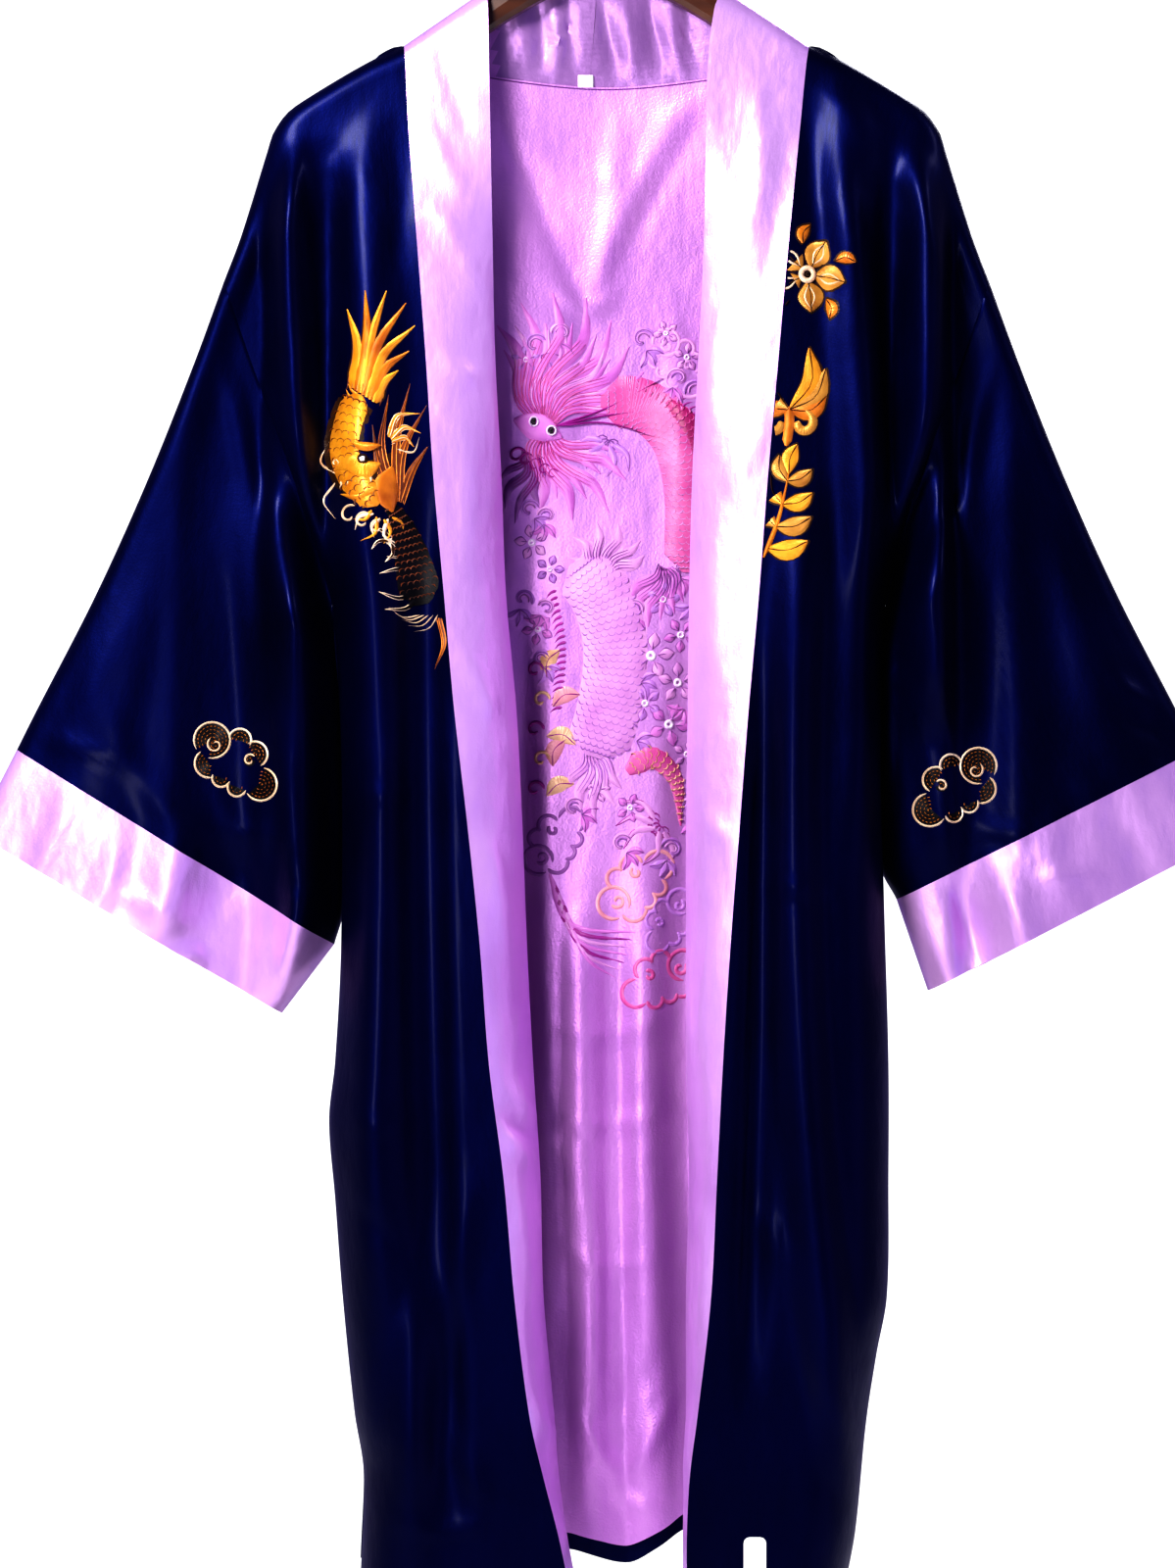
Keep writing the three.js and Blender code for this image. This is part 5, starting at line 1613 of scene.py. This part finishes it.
def lining_dragon():
    """A dragon among clouds and flowers on the lining, stitched in its own pinks."""
    made = []
    for i, c in enumerate(rows_of(LINING_CURLS)):
        for k, shrink in enumerate((1.0, 0.62)):
            radius, last = c["radius"] * shrink, c["radius"] * 0.3 * shrink
            points = arc((c["x"], c["z"]), radius, c["start"], c["end"], 14, last)
            made.append(stitch(points, 3.2 - k, ("lilac", "pale")[(i + k) % 2], "even", 1.0, 0, 18))
            made.append(stitch(points, 0.8, "mauve", "even", 0.3, 0.9, 18))
        heading = math.radians(c["end"])
        for turn in (-40, 10, 60):
            base = turned((c["x"], c["z"]), heading, c["radius"])
            tip = turned(base, heading + math.radians(turn), 12)
            made += leaf(base, tip, 6, ("lilac", "pink")[i % 2], "mauve")
    for i, b in enumerate(rows_of(LINING_BLOSSOMS)):
        tone = ("lilac", "pink", "pale", "pale")[i % 4]
        made += blossom((b["x"], b["z"]), b["radius"], 5, tone, "mauve", "white", b["turn"])
    neck = [(-4, -368), (24, -370), (46, -390), (56, -426), (56, -482)]
    made += scaled(neck, 36, "rose", "pale", 7, 4.2, "even", 2.2)
    flank = [(22, -358), (42, -370), (60, -392), (66, -430), (65, -482)]
    made += scaled(flank, 20, "crimson", "rose", 4, 4.2, "leaf", 2.6)
    angles, lengths = (262, 248, 276, 234, 290, 220), (40, 46, 36, 44, 30, 36)
    made += locks((40, -474), angles, lengths, 8, 0.16, "pink", "mauve", 0.12)
    trunk = [(-20, -474), (-2, -500), (6, -532), (2, -572), (-8, -606)]
    made += scaled(trunk, 44, "pale", "lilac", 8, 4.4, "even", 2.2)
    angles, lengths = (150, 120, 94, 66, 40, 18), (26, 32, 36, 36, 34, 30)
    made += locks((-2, -484), angles, lengths, 8, 0.16, "pale", "mauve", 0.14)
    angles, lengths = (236, 254, 270, 286, 304), (34, 44, 50, 42, 34)
    made += locks((-10, -600), angles, lengths, 9, 0.14, "pale", "lilac", 0.12)
    made += spikes([(36, -364), (64, -386), (76, -430), (76, -482)], 1, 10, 4.4, "magenta")
    made += spikes([(-34, -492), (-27, -530), (-30, -576)], -1, 9, 4.4, "magenta")
    head = (-44, -386)
    long = (58, 74, 64, 84, 70, 90, 74, 92, 72, 86, 66, 80, 70, 78, 66)
    short = (54, 66, 50, 72, 56, 64, 48, 56, 40, 36)
    made += locks(head, range(112, 6, -7), long, 9, 0.16, "pink", "rose", 0.14)
    made += locks(head, range(108, 12, -13), long[::-2], 6, 0.2, "pale", "pink", 0.16)
    made += locks(head, range(-14, -116, -10), short, 9, -0.16, "pink", "rose", -0.12)
    angles, lengths = (225, 240, 256, 272, 288), (30, 44, 52, 42, 34)
    made += locks((-52, -398), angles, lengths, 7, 0.24, "mauve", "magenta", 0.16)
    made.append(stitch([(-62, -380), (-48, -384), (-30, -392)], 20, "pink", "leaf", 2.0, 0.5, 12))
    for x, z in ((-49, -381), (-37, -387)):
        made.append(stitch(arc((x, z), 3.0, 0, 366, 14), 1.3, "white", "full", 0.8, 2.6, 18))
        made.append(stitch(arc((x, z), 1.2, 0, 350, 8), 2.4, "black", "even", 0.9, 2.8, 8))
    for k in range(5):
        centre = (-60 + 6 * k, -404 - 3 * k)
        made.append(stitch(arc(centre, 6 - 0.6 * k, 20, 330, 14, 1.6), 1.8, "magenta", "even", 0.8, 0.8, 18))
    for k, end in enumerate(((38, -352), (44, -372), (34, -392))):
        made.append(stitch([(-34, -384), (0, -372 - 5 * k), end], 1.6, "magenta", "plume", 0.8, 1.6, 16))
    for k in range(5):
        centre = (-40 + 4 * (k % 2), -552 - 20 * k)
        tip = turned(centre, math.radians(64 - 40 * (k % 3)), 20)
        made += leaf(centre, tip, 12, ("straw", "peach")[k % 2], "magenta", 0.2)
        curl = arc(turned(centre, 2.6, 9), 6, 0, 320, 12, 2)
        made.append(stitch(curl, 2.2, ("magenta", "straw")[k % 2], "even", 0.9, 0.5, 14))
    tail = [(14, -616), (30, -606), (46, -620), (50, -652)]
    made += scaled(tail, 17, "rose", "straw", 3, 4.2, "plume", 2.0)
    made += claw((38, -650), 214, 32, 5, 120, "pale", "magenta", 6)
    made += claw((2, -392), 250, 26, 4, 100, "lilac", "mauve", 6)
    made += cloud((20, -694), 0.9, 1, "peach", "pale", 3.0, 60)
    made += cloud((38, -756), 0.85, -1, "rose", "pale", 3.0, 10)
    made += cloud((44, -716), 0.7, -1, "lilac", "pale", 3.0, 40)
    made += cloud((46, -342), 0.75, 1, "pale", "pink", 3.0, -40)
    made += cloud((-34, -664), 0.8, 1, "mauve", "pink", 3.0, 70)
    for k in range(7):
        start, end = (-38 + 1.5 * k, -684 - 4 * k), (24 - 3 * k, -724 - 5 * k)
        tone = ("pink", "magenta", "pale")[k % 3]
        made.append(stitch([start, (-24 + 2 * k, -718 - 4 * k), end], 5.5, tone, "plume", 1.0, 0, 14))
    return made


def neck_seam_line():
    """The line of the seam between the band and the lining at the back of the neck."""
    seam = back[0][at_neck + 2 : len(back[0]) - at_neck - 2 : 4]
    return [stitch(seam[:, [0, 2]] - [0, 0.6], 1.2, "seam", "even", 0.5, count=60)]


embroider("neck_seam_stitches", panels["back_lining"], neck_seam_line(), PINK_THREADS, "lilac")
embroider("chest_dragon_stitches", panels["front_right"], chest_dragon(), GOLD_THREADS, "shell")
embroider("chest_emblem_stitches", panels["front_left"], chest_emblems(), GOLD_THREADS, "shell")
embroider("lining_stitches", panels["back_lining"], lining_dragon(), PINK_THREADS, "lilac")
for side, place in (("right", (-249, -610)), ("left", (234, -627))):
    strokes = cloud(place, 1.0, -SIGN[side], "cream", "amber", 1.5, SIGN[side] * 22, "black")
    embroider("cloud_stitches_" + side, panels["sleeve_" + side], strokes, GOLD_THREADS, "shell")


# The studio

PHOTO_WIDTH, PHOTO_HEIGHT = 1199, 1600
MM_PER_PIXEL = 0.65
MIDDLE_PIXEL, TOP_Z = 619, -104
LENS, SENSOR = 200, 36
VIEW_CENTRE = Vector(
    (
        (PHOTO_WIDTH / 2 - MIDDLE_PIXEL) * MM_PER_PIXEL * MM,
        -0.03,
        (TOP_Z - PHOTO_HEIGHT / 2 * MM_PER_PIXEL) * MM,
    )
)
VIEW_DISTANCE = PHOTO_HEIGHT * MM_PER_PIXEL * MM * LENS / SENSOR
FLOOR_Z = -1.3


def make_floor():
    bpy.ops.mesh.primitive_plane_add(size=3, location=(0, 0, FLOOR_Z))
    floor = bpy.context.object
    floor.name = "floor"
    material, nodes, links, shader = new_material("pale_floor", (0.8, 0.79, 0.78), 0.7)
    where = nodes.new("ShaderNodeTexCoord")
    grain = noise(nodes, links, where.outputs["Object"], 60, 4)
    links.new(ramp(nodes, links, grain, (0.78, 0.77, 0.76), (0.82, 0.81, 0.8)), shader.inputs["Base Color"])
    floor.data.materials.append(material)


def area_light(name, place, size, power, color=(1, 1, 1)):
    light = bpy.data.lights.new(name, "AREA")
    light.shape, light.size, light.energy, light.color = "DISK", size, power, color
    lamp = bpy.data.objects.new(name, light)
    lamp.location = place
    lamp.rotation_euler = (VIEW_CENTRE - Vector(place)).to_track_quat("-Z", "Y").to_euler()
    bpy.context.collection.objects.link(lamp)


def make_world():
    """A white backdrop. The light from round about is a dim violet in front and brighter behind."""
    world = bpy.data.worlds.new("studio")
    bpy.context.scene.world = world
    world.use_nodes = True
    nodes, links = world.node_tree.nodes, world.node_tree.links
    glow = nodes["Background"]
    glow.inputs["Color"].default_value = (0.52, 0.43, 1, 1)
    where = nodes.new("ShaderNodeTexCoord")
    parts = nodes.new("ShaderNodeSeparateXYZ")
    links.new(where.outputs["Generated"], parts.inputs["Vector"])
    spread = nodes.new("ShaderNodeMapRange")
    spread.interpolation_type = "SMOOTHSTEP"
    spread.inputs["From Min"].default_value = -0.2
    spread.inputs["From Max"].default_value = 0.9
    spread.inputs["To Min"].default_value = 0.18
    spread.inputs["To Max"].default_value = 0.4
    links.new(parts.outputs["Y"], spread.inputs["Value"])
    links.new(spread.outputs["Result"], glow.inputs["Strength"])
    backdrop = nodes.new("ShaderNodeBackground")
    backdrop.inputs["Color"].default_value = (1, 1, 1, 1)
    seen, join = nodes.new("ShaderNodeLightPath"), nodes.new("ShaderNodeMixShader")
    links.new(seen.outputs["Is Camera Ray"], join.inputs[0])
    links.new(glow.outputs["Background"], join.inputs[1])
    links.new(backdrop.outputs["Background"], join.inputs[2])
    links.new(join.outputs["Shader"], nodes["World Output"].inputs["Surface"])


def make_camera():
    camera = bpy.data.cameras.new("camera")
    camera.lens, camera.sensor_width = LENS, SENSOR
    camera.clip_end = 50
    eye = bpy.data.objects.new("camera", camera)
    eye.location = VIEW_CENTRE - Vector((0, VIEW_DISTANCE, 0))
    eye.rotation_euler = (math.radians(90), 0, 0)
    bpy.context.collection.objects.link(eye)
    bpy.context.scene.camera = eye


make_floor()
make_world()
make_camera()
area_light("key", (-0.7, -1.04, 0.3), 0.45, 30, (1, 0.98, 0.98))
area_light("fill", (-0.5, -1.3, -0.66), 0.3, 4, (1, 0.96, 1))
area_light("side", (2.4, -0.6, 1.1), 0.6, 10, (0.8, 0.76, 1))
area_light("low", (2.0, -1.2, -1.0), 1.2, 3, (0.4, 0.26, 1))
area_light("behind", (0.8, 2.4, 0.8), 1.6, 60)
bpy.context.scene.view_settings.view_transform = "Standard"
bpy.context.scene.view_settings.look = "High Contrast"
